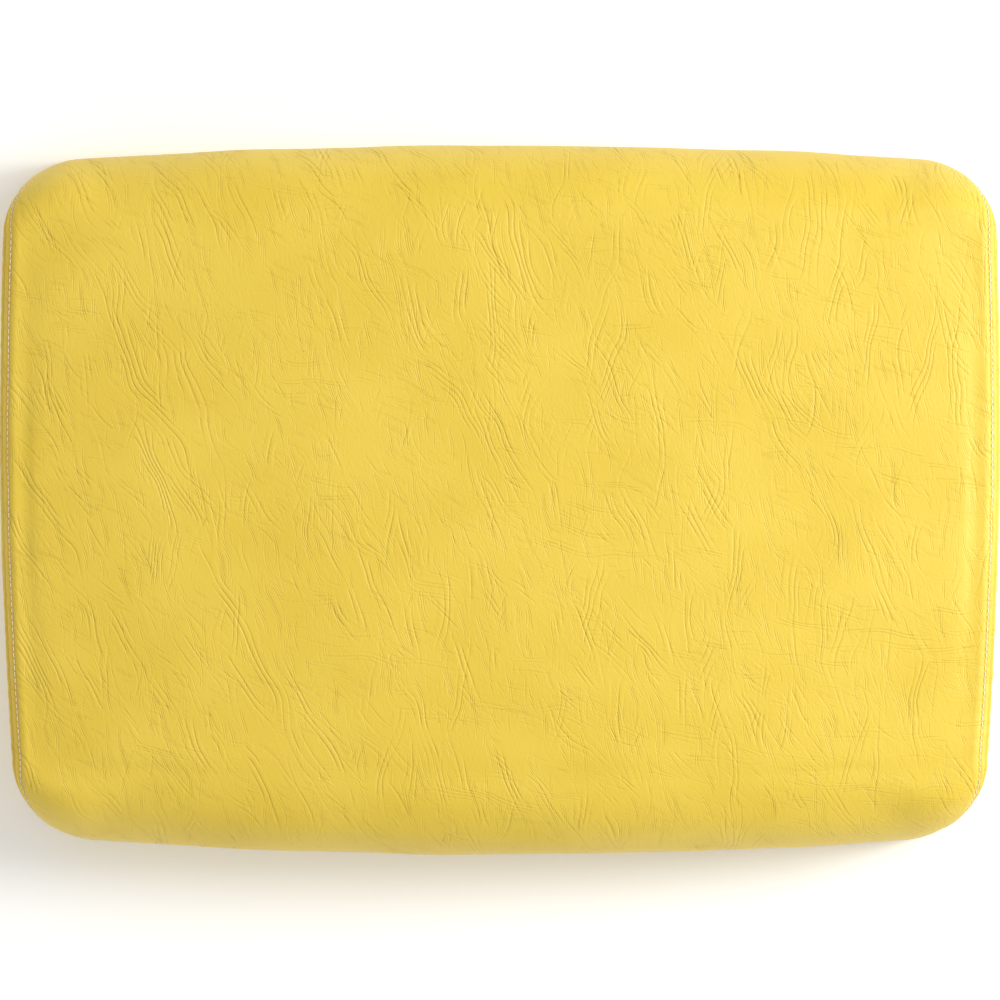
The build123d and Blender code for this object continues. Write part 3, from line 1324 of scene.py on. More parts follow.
@dataclass(frozen=True)
class PlywoodFinish:
    """Birch plywood: long grain on its faces and crossed plies at its edges."""

    pale: Colour = (0.66, 0.46, 0.27)
    dark: Colour = (0.40, 0.23, 0.11)
    ply: float = 2.0 * MM

    def material(self) -> bpy.types.Material:
        """Builds the material."""
        material, sketch, shader = new_material("plywood")
        place = sketch.object_place()
        split = sketch.split(place)
        layer = sketch.math("MULTIPLY", split[2], math.pi / self.ply)
        plies = sketch.remap(sketch.math("SINE", layer), -0.25, 0.25, 0.0, 0.65)
        facing = sketch.split(sketch.add("ShaderNodeNewGeometry").outputs["Normal"])
        edge = sketch.remap(sketch.math("ABSOLUTE", facing[2]), 0.4, 0.8, 1.0, 0.0)
        sway = sketch.scaled(sketch.noise(place, 90 * MM, 1).outputs[1], 40 * MM)
        drawn = sketch.vector("MULTIPLY", sketch.vector("ADD", place, sway), (0.10, 1.0, 1.0))
        figure = sketch.noise(drawn, 7 * MM, 4).outputs[0]
        pores = sketch.noise(sketch.vector("MULTIPLY", place, (0.05, 1.0, 1.0)), 0.8 * MM, 2)
        grain = sketch.remap(figure, 0.35, 0.68, 0.0, 0.55)
        share = sketch.math("MAXIMUM", grain, sketch.math("MULTIPLY", edge, plies))
        share = sketch.math("ADD", share, sketch.remap(pores.outputs[0], 0.55, 0.75, 0.0, 0.3))
        sketch.feed(shader.inputs["Base Color"], mixed(sketch, share, self.pale, self.dark))
        bumped(sketch, shader, sketch.math("MULTIPLY", pores.outputs[0], 0.06 * MM))
        set_plain(shader, Roughness=0.7)
        return material


@dataclass(frozen=True)
class MetalFinish:
    """Plated steel with rub marks."""

    name: str
    colour: Colour
    tarnish: Colour
    dullness: float

    def material(self, effects: SharedEffects) -> bpy.types.Material:
        """Builds the material around the shared rub marks.

        Args:
            effects: The shared groups.

        Returns:
            The material.
        """
        material, sketch, shader = new_material(self.name)
        place = sketch.object_place()
        group = sketch.add("ShaderNodeGroup", node_tree=effects.rubbed_metal)
        sketch.feed(group.inputs["Place"], place)
        set_plain(group, Dullness=self.dullness)
        share = group.outputs["Tarnish"]
        sketch.feed(shader.inputs["Base Color"], mixed(sketch, share, self.colour, self.tarnish))
        sketch.feed(shader.inputs["Roughness"], group.outputs["Roughness"])
        bumped(sketch, shader, group.outputs["Height"])
        set_plain(shader, Metallic=1.0)
        return material


@dataclass(frozen=True)
class ClothFinish:
    """Thin black dust cloth in a plain weave."""

    yarn: Colour = (0.022, 0.022, 0.024)
    # painted shade: the colour of the gaps between the yarns
    gap: Colour = (0.004, 0.004, 0.005)
    lint: Colour = (0.048, 0.047, 0.045)
    pitch: float = 0.9 * MM

    def material(self) -> bpy.types.Material:
        """Builds the material."""
        material, sketch, shader = new_material("black_cloth")
        place = sketch.object_place()
        sway = sketch.noise(place, 20 * MM, 2).outputs[1]
        bent = sketch.vector("ADD", place, sketch.scaled(sway, 1.2 * MM))
        split = sketch.split(sketch.scaled(bent, math.pi / self.pitch))
        warp, weft = sketch.math("SINE", split[0]), sketch.math("SINE", split[1])
        over = sketch.math("MULTIPLY", warp, weft)
        ridge = sketch.math("MAXIMUM", sketch.math("ABSOLUTE", warp), sketch.math("ABSOLUTE", weft))
        drawn = sketch.vector("MULTIPLY", place, (0.2, 1.0, 1.0))
        slub = sketch.noise(drawn, 2.2 * MM, 2).outputs[0]
        height = sketch.math("ADD", sketch.math("MULTIPLY", over, 0.35), ridge)
        height = sketch.math("ADD", height, sketch.math("MULTIPLY", slub, 0.6))
        bumped(sketch, shader, sketch.math("MULTIPLY", height, 0.07 * MM))
        # Painted shade: the gaps between the yarns are darker than the yarns.
        woven = mixed(sketch, sketch.remap(ridge, 0.35, 0.85, 0.0, 1.0), self.gap, self.yarn)
        dust = sketch.noise(place, 28 * MM, 5).outputs[0]
        dusty = sketch.remap(dust, 0.45, 0.85, 0.0, 0.6)
        sketch.feed(shader.inputs["Base Color"], mixed(sketch, dusty, woven, self.lint))
        set_plain(shader, Roughness=0.88, Sheen_Weight=0.3)
        return material


# Sub-assemblies ----------------------------------------------------------------------------------


@dataclass
class Relief:
    """The sewn relief of the cover, outwards from its smooth surface."""

    valley: float = 1.3 * MM
    valley_width: float = 3.4 * MM
    pillow: float = 0.30 * MM
    stitch_inset: float = 5.8 * MM
    groove: float = 0.50 * MM
    pitch: float = 3.2 * MM
    pucker: float = 0.12 * MM
    allowance: float = 10 * MM
    fold: float = 0.16 * MM
    stitch_groove_width: float = 0.95 * MM
    hole: float = 0.25 * MM
    swell: float = 0.45 * MM
    swell_length: float = 95 * MM
    pleat: float = 0.45 * MM
    pleats_a_turn: float = 26.0

    def beside_seam(self, distance: np.ndarray, arc: np.ndarray, stitched: bool) -> np.ndarray:
        """Relief of the seam, its folded allowance and its topstitching.

        Args:
            distance: Distance from the seam.
            arc: Length along the seam.
            stitched: Whether the panel carries the topstitching.

        Returns:
            Heights, negative where the vinyl is drawn in.
        """
        height = -self.valley * (1 - blend_step(distance, 0, self.valley_width))
        full = blend_step(distance, 0.8 * MM, 3 * MM)
        height = height + self.pillow * full * (1 - blend_step(distance, 8 * MM, 16 * MM))
        fold = 1 - blend_step(distance, self.allowance - 1 * MM, self.allowance + 1.2 * MM)
        height = height + self.fold * fold * full
        turns = 2 * np.pi * arc
        wave = np.sin(turns / (7.4 * MM) + 1.3 * np.sin(turns / (47 * MM)))
        wave = wave + 0.6 * np.sin(turns / (11.7 * MM) + 0.8)
        height = height + self.pucker * wave * full * np.exp(-distance / (8 * MM))
        if stitched:
            off = (distance - self.stitch_inset) / self.stitch_groove_width
            hole = self.hole * (0.5 + 0.5 * np.cos(turns / self.pitch))
            height = height - (self.groove + hole) * np.exp(-(off**2))
        return height

    def slack(self, points: np.ndarray) -> np.ndarray:
        """Slow swells of the padding under the whole cover."""
        x, y, z = points[..., 0], points[..., 1], points[..., 2]
        total = np.zeros(x.shape)
        for k, (a, b, c, size) in enumerate(
            ((1, 0.3, 0.2, 1.0), (-0.5, 1, 0.6, 0.8), (0.8, -0.9, 0.4, 0.6), (0.2, 1.4, 1.1, 0.5))
        ):
            phase = 2 * np.pi * (a * x + b * y + c * z) / self.swell_length * (1 + 0.37 * k)
            total += size * np.sin(phase + 1.9 * k)
        return self.swell * total / 2.2

    def pleats(self, points: np.ndarray, form: CushionForm) -> np.ndarray:
        """Small pleats where the hem gathers under the corners.

        Args:
            points: The panel's points.
            form: The cushion's form.

        Returns:
            How far each point goes down.
        """
        out_x = np.abs(points[..., 0]) - (form.width / 2 - form.corner)
        out_y = np.abs(points[..., 1]) - (form.depth / 2 - form.corner)
        turn = np.arctan2(out_y, np.maximum(out_x, 1e-6))
        inset = form.corner - np.hypot(out_x, out_y)
        at_corner = blend_step(np.minimum(out_x, out_y), -3 * MM, 8 * MM)
        low = points[..., 2] < 1.5 * MM
        band = blend_step(inset, 1 * MM, 4 * MM) * (1 - blend_step(inset, 9.5 * MM, 12.5 * MM))
        phase = turn * self.pleats_a_turn + np.sign(points[..., 0]) + points[..., 1] * 9
        fold = np.maximum(np.sin(phase), 0)
        return self.pleat * fold * band * at_corner * low


@dataclass
class Panel:
    """A panel of the cover after refining: its skin, its side of the seam and its flat place."""

    skin: np.ndarray
    distance: np.ndarray
    arc: np.ndarray
    flat: np.ndarray
    flipped: bool


@dataclass
class Cover:
    """The vinyl cover: three sewn panels with their seams, emboss and hems."""

    form: CushionForm
    seam: SeamPlan = field(default_factory=SeamPlan)
    rows: Rows = field(default_factory=Rows)
    relief: Relief = field(default_factory=Relief)
    fineness: int = 4
    pressed: float = 0.75
    main: Panel | None = None
    ends: dict[Side, Panel] = field(default_factory=dict)
    coarse: Panels | None = None

    def build(self, vinyl: bpy.types.Material) -> None:
        """Builds the three panels and hands them over."""
        coarse = CoverCloth(CoverLayout(self.form, self.seam, self.rows)).inflated()
        self.coarse = coarse
        factor = self.fineness
        main = refine_grid(coarse.main, factor, factor)
        sides = zip(Side, (coarse.left, coarse.right))
        ends = {side: refine_grid(grid, factor, factor) for side, grid in sides}
        normals = grid_normals(main)
        main_lines, main_normals = {}, {}
        for side, grid in ends.items():
            column = 0 if side is Side.LEFT else -1
            line, rows = main[:, column], len(grid)
            grid[:, 0], grid[:, -1] = line[:rows], line[::-1][:rows]
            grid[-1] = line[rows - 1 : len(line) - rows + 1]
            own = grid_normals(grid) * side.value
            edge = normals[:, column].copy()
            edge[:rows] += own[:, 0]
            edge[::-1][:rows] += own[:, -1]
            edge[rows - 1 : len(line) - rows + 1] += own[-1]
            edge /= np.linalg.norm(edge, axis=1, keepdims=True)
            main_lines[side], main_normals[side] = along(line), edge
            self.ends[side] = self.end_panel(grid, own, edge, main_lines[side], side)
        self.main = self.main_panel(main, normals, main_lines, main_normals)
        names = {"cover_main": (self.main, "cover_top_panel")}
        for side, panel in self.ends.items():
            word = side.name.lower()
            names[f"cover_{word}_end"] = (panel, f"{word}_end_panel")
        for name, (panel, node) in names.items():
            piece = self.shell(name, panel)
            press_creases(piece, self.pressed)
            hand_over(piece, vinyl, (node,), 50)

    def raised(
        self, grid: np.ndarray, own: np.ndarray, shared: np.ndarray, distance: np.ndarray,
        arc: np.ndarray, stitched: bool,
    ) -> np.ndarray:
        """Gives a refined panel its relief.

        Args:
            grid: The panel's points.
            own: Its outward normals.
            shared: The normals of the nearest point of the seam.
            distance: Distance from the seam.
            arc: Length along the seam.
            stitched: Whether the panel carries the topstitching.

        Returns:
            The raised points.
        """
        lean = blend_step(distance, 0, 4 * MM)[..., None]
        out = shared * (1 - lean) + own * lean
        out /= np.linalg.norm(out, axis=-1, keepdims=True)
        sewn = self.relief.beside_seam(distance, arc, stitched)
        height = grid[..., 2]
        sewn = sewn * blend_step(height, self.seam.hem_level + 0.5 * MM, 5 * MM)
        soft = self.relief.slack(grid) * blend_step(height, 20 * MM, 45 * MM)
        soft = soft * blend_step(distance, 2 * MM, 26 * MM)
        raised = grid + out * (sewn + soft)[..., None]
        raised[..., 2] -= self.relief.pleats(grid, self.form)
        return raised

    def main_panel(
        self, grid: np.ndarray, own: np.ndarray, lines: dict, normals: dict
    ) -> Panel:
        """Works out the main panel.

        Args:
            grid: Its refined points.
            own: Its outward normals.
            lines: Lengths along each end's seam.
            normals: Normals along each end's seam.

        Returns:
            The panel.
        """
        across = np.apply_along_axis(np.cumsum, 1, self.steps(grid))
        distance = np.minimum(across, across[:, -1:] - across)
        left = across < across[:, -1:] / 2
        arc = np.where(left, lines[Side.LEFT][:, None], lines[Side.RIGHT][:, None])
        shared = np.where(
            left[..., None], normals[Side.LEFT][:, None], normals[Side.RIGHT][:, None]
        )
        middle = grid.shape[1] // 2
        up = along(grid[:, middle])
        flat = np.stack(
            (across - across[:, middle : middle + 1], np.broadcast_to(up[:, None], across.shape)),
            axis=-1,
        )
        flat[..., 1] -= up[len(up) // 2]
        skin = self.raised(grid, own, shared, distance, arc, True)
        return Panel(skin, distance, arc, flat, False)

    def end_panel(
        self, grid: np.ndarray, own: np.ndarray, edge: np.ndarray, line: np.ndarray, side: Side
    ) -> Panel:
        """Works out an end panel.

        Args:
            grid: Its refined points.
            own: Its outward normals.
            edge: Normals along the seam.
            line: Lengths along the seam.
            side: Which end.

        Returns:
            The panel.
        """
        rows, columns = grid.shape[:2]
        across = np.cumsum(self.steps(grid), axis=1)
        climb = np.cumsum(self.steps(grid.swapaxes(0, 1)), axis=1).T
        ways = np.stack((across, across[:, -1:] - across, climb[-1:] - climb))
        nearest = ways.argmin(axis=0)
        row = np.broadcast_to(np.arange(rows)[:, None], (rows, columns))
        column = np.broadcast_to(np.arange(columns)[None], (rows, columns))
        place = np.choose(nearest, (row, len(line) - 1 - row, rows - 1 + column))
        distance, arc, shared = ways.min(axis=0), line[place], edge[place]
        flat = np.stack((across - across[:, -1:] / 2, climb), axis=-1) + (side.value * 2.0, 1.0)
        skin = self.raised(grid, own, shared, distance, arc, False)
        return Panel(skin, distance, arc, flat, side is Side.LEFT)

    @staticmethod
    def steps(grid: np.ndarray) -> np.ndarray:
        """Length of each step along the second axis, with 0 before the first."""
        lengths = np.linalg.norm(np.diff(grid, axis=1), axis=2)
        return np.concatenate((np.zeros((len(grid), 1)), lengths), axis=1)

    def shell(self, name: str, panel: Panel) -> bpy.types.Object:
        """A panel as a closed sheet of vinyl, fine outside and coarse inside.

        Args:
            name: The piece's name.
            panel: The panel.

        Returns:
            The piece, with its UV maps and its emboss attribute.
        """
        skin, step = panel.skin, self.fineness
        out = grid_normals(skin) * (-1 if panel.flipped else 1)
        inner = (skin - out * self.seam.vinyl)[::step, ::step]
        outer_numbers = np.arange(skin[..., 0].size).reshape(skin.shape[:2])
        inner_numbers = outer_numbers.size + np.arange(inner[..., 0].size).reshape(inner.shape[:2])
        faces = quads_of(outer_numbers, panel.flipped)
        faces += quads_of(inner_numbers, not panel.flipped)
        fine_loop, coarse_loop = self.edge_loop(outer_numbers), self.edge_loop(inner_numbers)
        for k in range(len(coarse_loop) - 1):
            rim = fine_loop[k * step : (k + 1) * step + 1][::-1] + coarse_loop[k : k + 2]
            faces.append(tuple(rim[::-1] if panel.flipped else rim))
        piece = new_piece(name, np.concatenate((skin.reshape(-1, 3), inner.reshape(-1, 3))), faces)
        sewn = np.stack((panel.distance, panel.arc / self.relief.pitch), axis=-1)
        corners = np.empty(len(piece.data.loops), int)
        piece.data.loops.foreach_get("vertex_index", corners)
        for label, values in (("Vinyl", panel.flat), ("Seam", sewn)):
            layer = piece.data.uv_layers.new(name=label)
            both = np.concatenate((values.reshape(-1, 2), values[::step, ::step].reshape(-1, 2)))
            layer.data.foreach_set("uv", both[corners].ravel().astype(np.float32))
        shown = blend_step(panel.distance, 1.5 * MM, 9 * MM)
        inside = np.zeros(inner[..., 0].size)
        emboss = piece.data.attributes.new("emboss", "FLOAT", "POINT")
        emboss.data.foreach_set("value", np.concatenate((shown.ravel(), inside)))
        return piece

    @staticmethod
    def edge_loop(numbers: np.ndarray) -> list[int]:
        """The numbers round a grid's edge, back to the first."""
        sides = (numbers[0, :-1], numbers[:-1, -1], numbers[-1, :0:-1], numbers[::-1, 0])
        return [int(n) for side in sides for n in side]

    def stitch_line(self, side: Side) -> tuple[np.ndarray, np.ndarray]:
        """The topstitching's line on the main panel, and the surface's normals along it.

        Args:
            side: Which end's line.

        Returns:
            Two arrays of shape (rows, 3).
        """
        panel = self.main
        normals = grid_normals(panel.skin)
        start = self.fineness * (self.rows.hem + self.rows.under)
        points, directions = [], []
        for row in range(start, len(panel.skin) - start):
            half = panel.skin.shape[1] // 2
            columns = slice(0, half) if side is Side.LEFT else slice(None, half, -1)
            reach = panel.distance[row, columns]
            for values, store in ((panel.skin, points), (normals, directions)):
                line, inset = values[row, columns], self.relief.stitch_inset
                store.append([np.interp(inset, reach, line[:, k]) for k in range(3)])
        return np.array(points), np.array(directions)


@dataclass
class Topstitching:
    """A line of thread stitches beside each end seam."""

    cover: Cover
    length: float = 2.7 * MM
    radius: float = 0.33 * MM
    twist: float = 5.2
    sink: float = 0.02 * MM

    def build(self, thread: bpy.types.Material) -> None:
        """Builds one line an end."""
        for side in Side:
            word = side.name.lower()
            line, normals = self.cover.stitch_line(side)
            row = repeated(f"{word}_stitching", self.stitch(), self.places(line, normals))
            hand_over(row, thread, (f"{word}_topstitch",), 180)

    def stitch(self) -> bpy.types.Object:
        """One two-ply stitch along X that dips into its needle holes."""
        bpy.ops.mesh.primitive_cylinder_add(
            vertices=8, radius=self.radius, depth=self.length, rotation=(0, math.pi / 2, 0)
        )
        piece = made("stitch")
        bpy.ops.object.transform_apply(location=False, rotation=True, scale=False)
        cuts = [(self.length * share, 0, 0) for share in (-0.42, -0.28, -0.1, 0.1, 0.28, 0.42)]
        cut_across(piece, cuts, (1, 0, 0))
        points = points_of(piece)
        along_x = points[:, 0] / self.length
        angle = np.arctan2(points[:, 2], points[:, 1])
        ply = 1 + 0.16 * np.cos(2 * angle - 2 * self.twist * along_x)
        tip = np.where(np.abs(along_x) > 0.46, 0.62, 1.0)
        points[:, 1:] *= (ply * tip)[:, None]
        points[:, 2] += self.radius * (0.9 - 1.9 * (2 * np.abs(along_x)) ** 4)
        move_points(piece, points)
        return piece

    def places(self, line: np.ndarray, normals: np.ndarray) -> list[Matrix]:
        """Where each stitch goes.

        Args:
            line: The stitching line.
            normals: The surface's normals along it.

        Returns:
            One matrix a stitch.
        """
        lengths = along(line)
        pitch = self.cover.relief.pitch
        middles = np.arange(0.7 * pitch, lengths[-1] - 0.6 * pitch, pitch)
        found = []
        for middle in middles:
            sample = [
                Vector([np.interp(place, lengths, values[:, k]) for k in range(3)])
                for place, values in (
                    (middle - self.length / 2, line), (middle + self.length / 2, line),
                    (middle, line), (middle, normals),
                )
            ]
            forward = (sample[1] - sample[0]).normalized()
            up = (sample[3] - forward * sample[3].dot(forward)).normalized()
            across = up.cross(forward)
            spot = sample[2] - up * self.sink
            columns = [(*column, 0) for column in (forward, across, up)] + [(*spot, 1)]
            found.append(Matrix(columns).transposed())
        return found


@dataclass
class Padding:
    """The wadding and the two foams inside the cover."""

    cover: Cover
    wadding: float = 4 * MM
    clearance: float = 0.25 * MM
    gap: float = 0.1 * MM
    roughness: float = 0.25 * MM

    def skin(self, inset: float) -> tuple[np.ndarray, list]:
        """The inflated cover drawn in by an inset, down to its foot.

        Args:
            inset: How far inside the cover's face it is.

        Returns:
            Its points and faces, with the opening below closed by the last face.
        """
        below = self.cover.rows.hem + self.cover.rows.under
        coarse = self.cover.coarse
        panels = Panels(coarse.main[below:-below], coarse.left[below:], coarse.right[below:])
        cloth = CoverCloth(CoverLayout(self.cover.form, self.cover.seam, self.cover.rows))
        points, numbers = cloth.numbered(panels)
        points = points - self.cover.form.outward(points) * inset
        return points, cloth.faces(numbers)

    def build(
        self, wadding: bpy.types.Material, soft: bpy.types.Material, firm: bpy.types.Material
    ) -> None:
        """Builds the three pads."""
        outer = self.cover.seam.vinyl + self.cover.relief.valley + self.clearance
        inner = self.cover.seam.vinyl + self.wadding
        self.blanket(outer, inner - self.gap, wadding)
        low, level = (corner.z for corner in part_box("foam_core"))
        points, faces = self.skin(inner + self.gap)
        topper = new_piece("foam_topper_pad", points, faces)
        keep_side(topper, (0, 0, level + self.gap / 2), (0, 0, -1))
        core = new_piece("foam_core_pad", points, faces)
        keep_side(core, (0, 0, level - self.gap / 2), (0, 0, 1))
        keep_side(core, (0, 0, low + self.gap / 2), (0, 0, -1))
        for pad in (topper, core):
            self.roughen(pad, level)
        hand_over(topper, soft, ("foam_topper",))
        hand_over(core, firm, ("foam_core",))

    def roughen(self, pad: bpy.types.Object, level: float) -> None:
        """Gives a foam pad the slight waviness of a saw cut, away from its flat faces.

        Args:
            pad: The pad.
            level: Height of the cut between the foams.
        """
        points = points_of(pad)
        x, y, z = points.T
        wave = np.sin(x * 420 + 2 * np.sin(y * 61)) * np.sin(y * 370 + z * 90)
        depth = self.roughness * (0.5 + 0.5 * wave)
        points[:, :2] *= (1 - depth / (150 * MM))[:, None]
        points[:, 2] -= depth * blend_step(z, level + 6 * MM, level + 16 * MM)
        move_points(pad, points)

    def blanket(self, outer: float, inner: float, material: bpy.types.Material) -> None:
        """Builds the wadding between two skins.

        Args:
            outer: The outer skin's inset.
            inner: The inner skin's inset.
            material: Its finish.
        """
        points, faces = self.skin(outer)
        tufts = np.sin(points @ np.array((310.0, 270.0, 190.0))) * np.sin(
            points @ np.array((-170.0, 350.0, 260.0))
        )
        out = self.cover.form.outward(points)
        outside = points - out * (self.roughness * (1 + tufts))[:, None]
        within, _ = self.skin(inner)
        shift = len(points)
        *sheet, cap = faces
        inward = [tuple(n + shift for n in face[::-1]) for face in sheet]
        rim = [
            (second + shift, first + shift, first, second)
            for second, first in zip(cap, cap[1:] + cap[:1])
        ]
        pad = new_piece("batting_pad", np.concatenate((outside, within)), sheet + inward + rim)
        hand_over(pad, material, ("batting",), 60)


@dataclass
class DustCloth:
    """The black cloth that closes the underside, with its edge turned in and its bolt openings."""

    corner: float = 22 * MM
    turned_in: float = 11 * MM
    opening: float = 6 * MM
    thickness: float = 0.8 * MM
    columns: int = 118
    rows: int = 82

    def build(self, cloth: bpy.types.Material, holes: list[tuple[float, float]]) -> None:
        """Builds the sheet.

        Args:
            cloth: Its finish.
            holes: Centres of the openings.
        """
        low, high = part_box("underside_cloth")
        width, depth = high.x - low.x, high.y - low.y
        bpy.ops.mesh.primitive_grid_add(
            x_subdivisions=self.columns, y_subdivisions=self.rows, size=1.0
        )
        sheet = made("dust_cloth")
        points = points_of(sheet)
        points[:, 0] *= width
        points[:, 1] *= depth
        points = self.rounded(points, width / 2, depth / 2)
        move_points(sheet, points)
        for centre in holes:
            self.open_hole(sheet, centre)
        points = points_of(sheet)
        points[:, 2] = self.face_level(points, width, depth, holes)
        move_points(sheet, points)
        solid = sheet.modifiers.new("cloth", "SOLIDIFY")
        solid.thickness = self.thickness * 0.55
        solid.offset = 1
        apply_modifiers(sheet)
        points = points_of(sheet)
        points[:, 2] = np.clip(points[:, 2], 0.0, self.thickness)
        move_points(sheet, points)
        hand_over(sheet, cloth, ("underside_cloth",), 50)

    def rounded(self, points: np.ndarray, half_x: float, half_y: float) -> np.ndarray:
        """Draws the grid's corners in to the cloth's corner radius.

        Args:
            points: The grid's points.
            half_x: Half the width.
            half_y: Half the depth.

        Returns:
            The moved points.
        """
        x, y = points[:, 0], points[:, 1]
        reach = np.maximum(np.abs(x) / half_x, np.abs(y) / half_y)
        turn = np.arctan2(np.abs(y), np.abs(x))
        ray = np.column_stack((np.cos(turn), np.sin(turn)))
        low, high = np.zeros(len(x)), np.full(len(x), half_x + half_y)
        for _ in range(HALVINGS):
            middle = (low + high) / 2
            spot = ray * middle[:, None]
            gap = round_meet(spot[:, 0] - half_x, spot[:, 1] - half_y, self.corner)
            low, high = np.where(gap < 0, middle, low), np.where(gap < 0, high, middle)
        square = np.minimum(
            half_x / np.maximum(ray[:, 0], 1e-9), half_y / np.maximum(ray[:, 1], 1e-9)
        )
        share = blend_step(reach, 0.75, 1.0) * (low / square - 1)
        moved = points.copy()
        moved[:, :2] *= (1 + share)[:, None]
        return moved

    def open_hole(self, sheet: bpy.types.Object, centre: tuple[float, float]) -> None:
        """Cuts a round opening and joins it to the grid around it.

        Args:
            sheet: The cloth.
            centre: The opening's middle.
        """
        middles = face_middles(sheet)
        near = np.hypot(middles[:, 0] - centre[0], middles[:, 1] - centre[1]) < self.opening * 1.9
        choose(sheet, near)
        bpy.ops.mesh.delete(type="FACE")
        bpy.ops.mesh.select_mode(type="EDGE")
        bpy.ops.mesh.select_all(action="DESELECT")
        bpy.ops.mesh.primitive_circle_add(
            vertices=32, radius=self.opening, location=(*centre, 0.0), fill_type="NOTHING"
        )
        bpy.ops.object.mode_set(mode="OBJECT")
        points = points_of(sheet)
        reach = np.hypot(points[:, 0] - centre[0], points[:, 1] - centre[1])
        counts = np.zeros(len(sheet.data.edges), int)
        lookup = {tuple(sorted(edge.vertices)): edge.index for edge in sheet.data.edges}
        for face in sheet.data.polygons:
            for key in face.edge_keys:
                counts[lookup[tuple(sorted(key))]] += 1
        ends = np.array([edge.vertices[:] for edge in sheet.data.edges])
        ring = (counts < 2) & (reach[ends].max(axis=1) < self.opening * 4)
        sheet.data.edges.foreach_set("select", ring)
        bpy.ops.object.mode_set(mode="EDIT")
        bpy.ops.mesh.bridge_edge_loops()
        bpy.ops.mesh.normals_make_consistent(inside=False)
        bpy.ops.object.mode_set(mode="OBJECT")

    def face_level(self, points: np.ndarray, width: float, depth: float, holes: list) -> np.ndarray:
        """Height of the cloth's lower face: its turned-in edge is the lowest.

        Args:
            points: The sheet's points.
            width: The sheet's width.
            depth: The sheet's depth.
            holes: Centres of the openings.

        Returns:
            One height a point.
        """
        x, y = points[:, 0], points[:, 1]
        inset = -round_meet(np.abs(x) - width / 2, np.abs(y) - depth / 2, self.corner)
        turned = 1 - blend_step(inset, self.turned_in - 1.5 * MM, self.turned_in + 2 * MM)
        wave = np.sin(x * 83 + 2.1 * np.sin(y * 37)) * np.sin(y * 71 + 1.4 * np.sin(x * 29))
        wave = 0.5 + 0.5 * wave
        level = 0.36 * MM * (1 - turned) * (0.55 + 0.45 * wave)
        for centre in holes:
            away = np.hypot(x - centre[0], y - centre[1])
            level = level * blend_step(away, self.opening * 1.0, self.opening * 1.7)
        return level


@dataclass
class Staples:
    """Upholstery staples: bent wire with a flat crown and two legs in the board."""

    crown: float = 10 * MM
    width: float = 1.2 * MM
    thickness: float = 0.5 * MM
    leg: float = 8 * MM

    def build(self, wire: bpy.types.Material) -> None:
        """Builds the row that holds the cover and the row that holds the cloth."""
        for node in ("cover_staples", "cloth_staples"):
            name = f"{node.removesuffix('s')}_row"
            row = repeated(name, self.staple(), self.places(node))
            hand_over(row, wire, (node,), 35)

    def staple(self) -> bpy.types.Object:
        """One staple, its crown's face at height 0 and its legs up."""
        bpy.ops.mesh.primitive_cube_add(size=1.0, location=(0, 0, self.thickness / 2))
        piece = made("staple")
        piece.scale = (self.crown, self.width, self.thickness)
        bpy.ops.object.transform_apply(location=True, rotation=False, scale=True)
        inner = self.crown / 2 - self.thickness
        cut_across(piece, [(-inner, 0, 0), (inner, 0, 0)], (1, 0, 0))
        middles = face_middles(piece)
        ends = (np.abs(middles[:, 0]) > inner) & (middles[:, 2] > self.thickness * 0.99)
        choose(piece, ends)
        lift = self.leg - 1.5 * self.thickness
        bpy.ops.mesh.extrude_region_move(TRANSFORM_OT_translate={"value": (0, 0, lift)})
        bpy.ops.mesh.extrude_region_move(TRANSFORM_OT_translate={"value": (0, 0, self.thickness)})
        bpy.ops.object.mode_set(mode="OBJECT")
        points = points_of(piece)
        tips = points[:, 2] > self.leg - 0.6 * self.thickness
        points[tips, 1] *= 0.35
        move_points(piece, points)
        bevel = piece.modifiers.new("wire", "BEVEL")
        bevel.width, bevel.segments, bevel.limit_method = 0.14 * MM, 1, "ANGLE"
        apply_modifiers(piece)
        return piece

    def places(self, node: str) -> list[Matrix]:
        """Reads each staple's place from its CAD node.

        Args:
            node: The node.

        Returns:
            One matrix a staple.
        """
        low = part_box(node)[0].z
        points = points_of(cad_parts[node])
        feet = np.unique(np.round(points[points[:, 2] < low + 0.01 * MM][:, :2], 6), axis=0)
        found = []
        while len(feet):
            near = np.hypot(*(feet - feet[0]).T) < self.crown * 1.3
            group, feet = feet[near], feet[~near]
            middle = (group.max(axis=0) + group.min(axis=0)) / 2
            middle = group.mean(axis=0) if len(group) == 4 else middle
            _, directions = np.linalg.eigh(np.cov((group - middle).T))
            angle = math.atan2(directions[1, 1], directions[0, 1])
            spot = Matrix.Translation((*middle, low))
            found.append(spot @ Matrix.Rotation(angle, 4, "Z"))
        log.info("%s: %d staples", node, len(found))
        return found


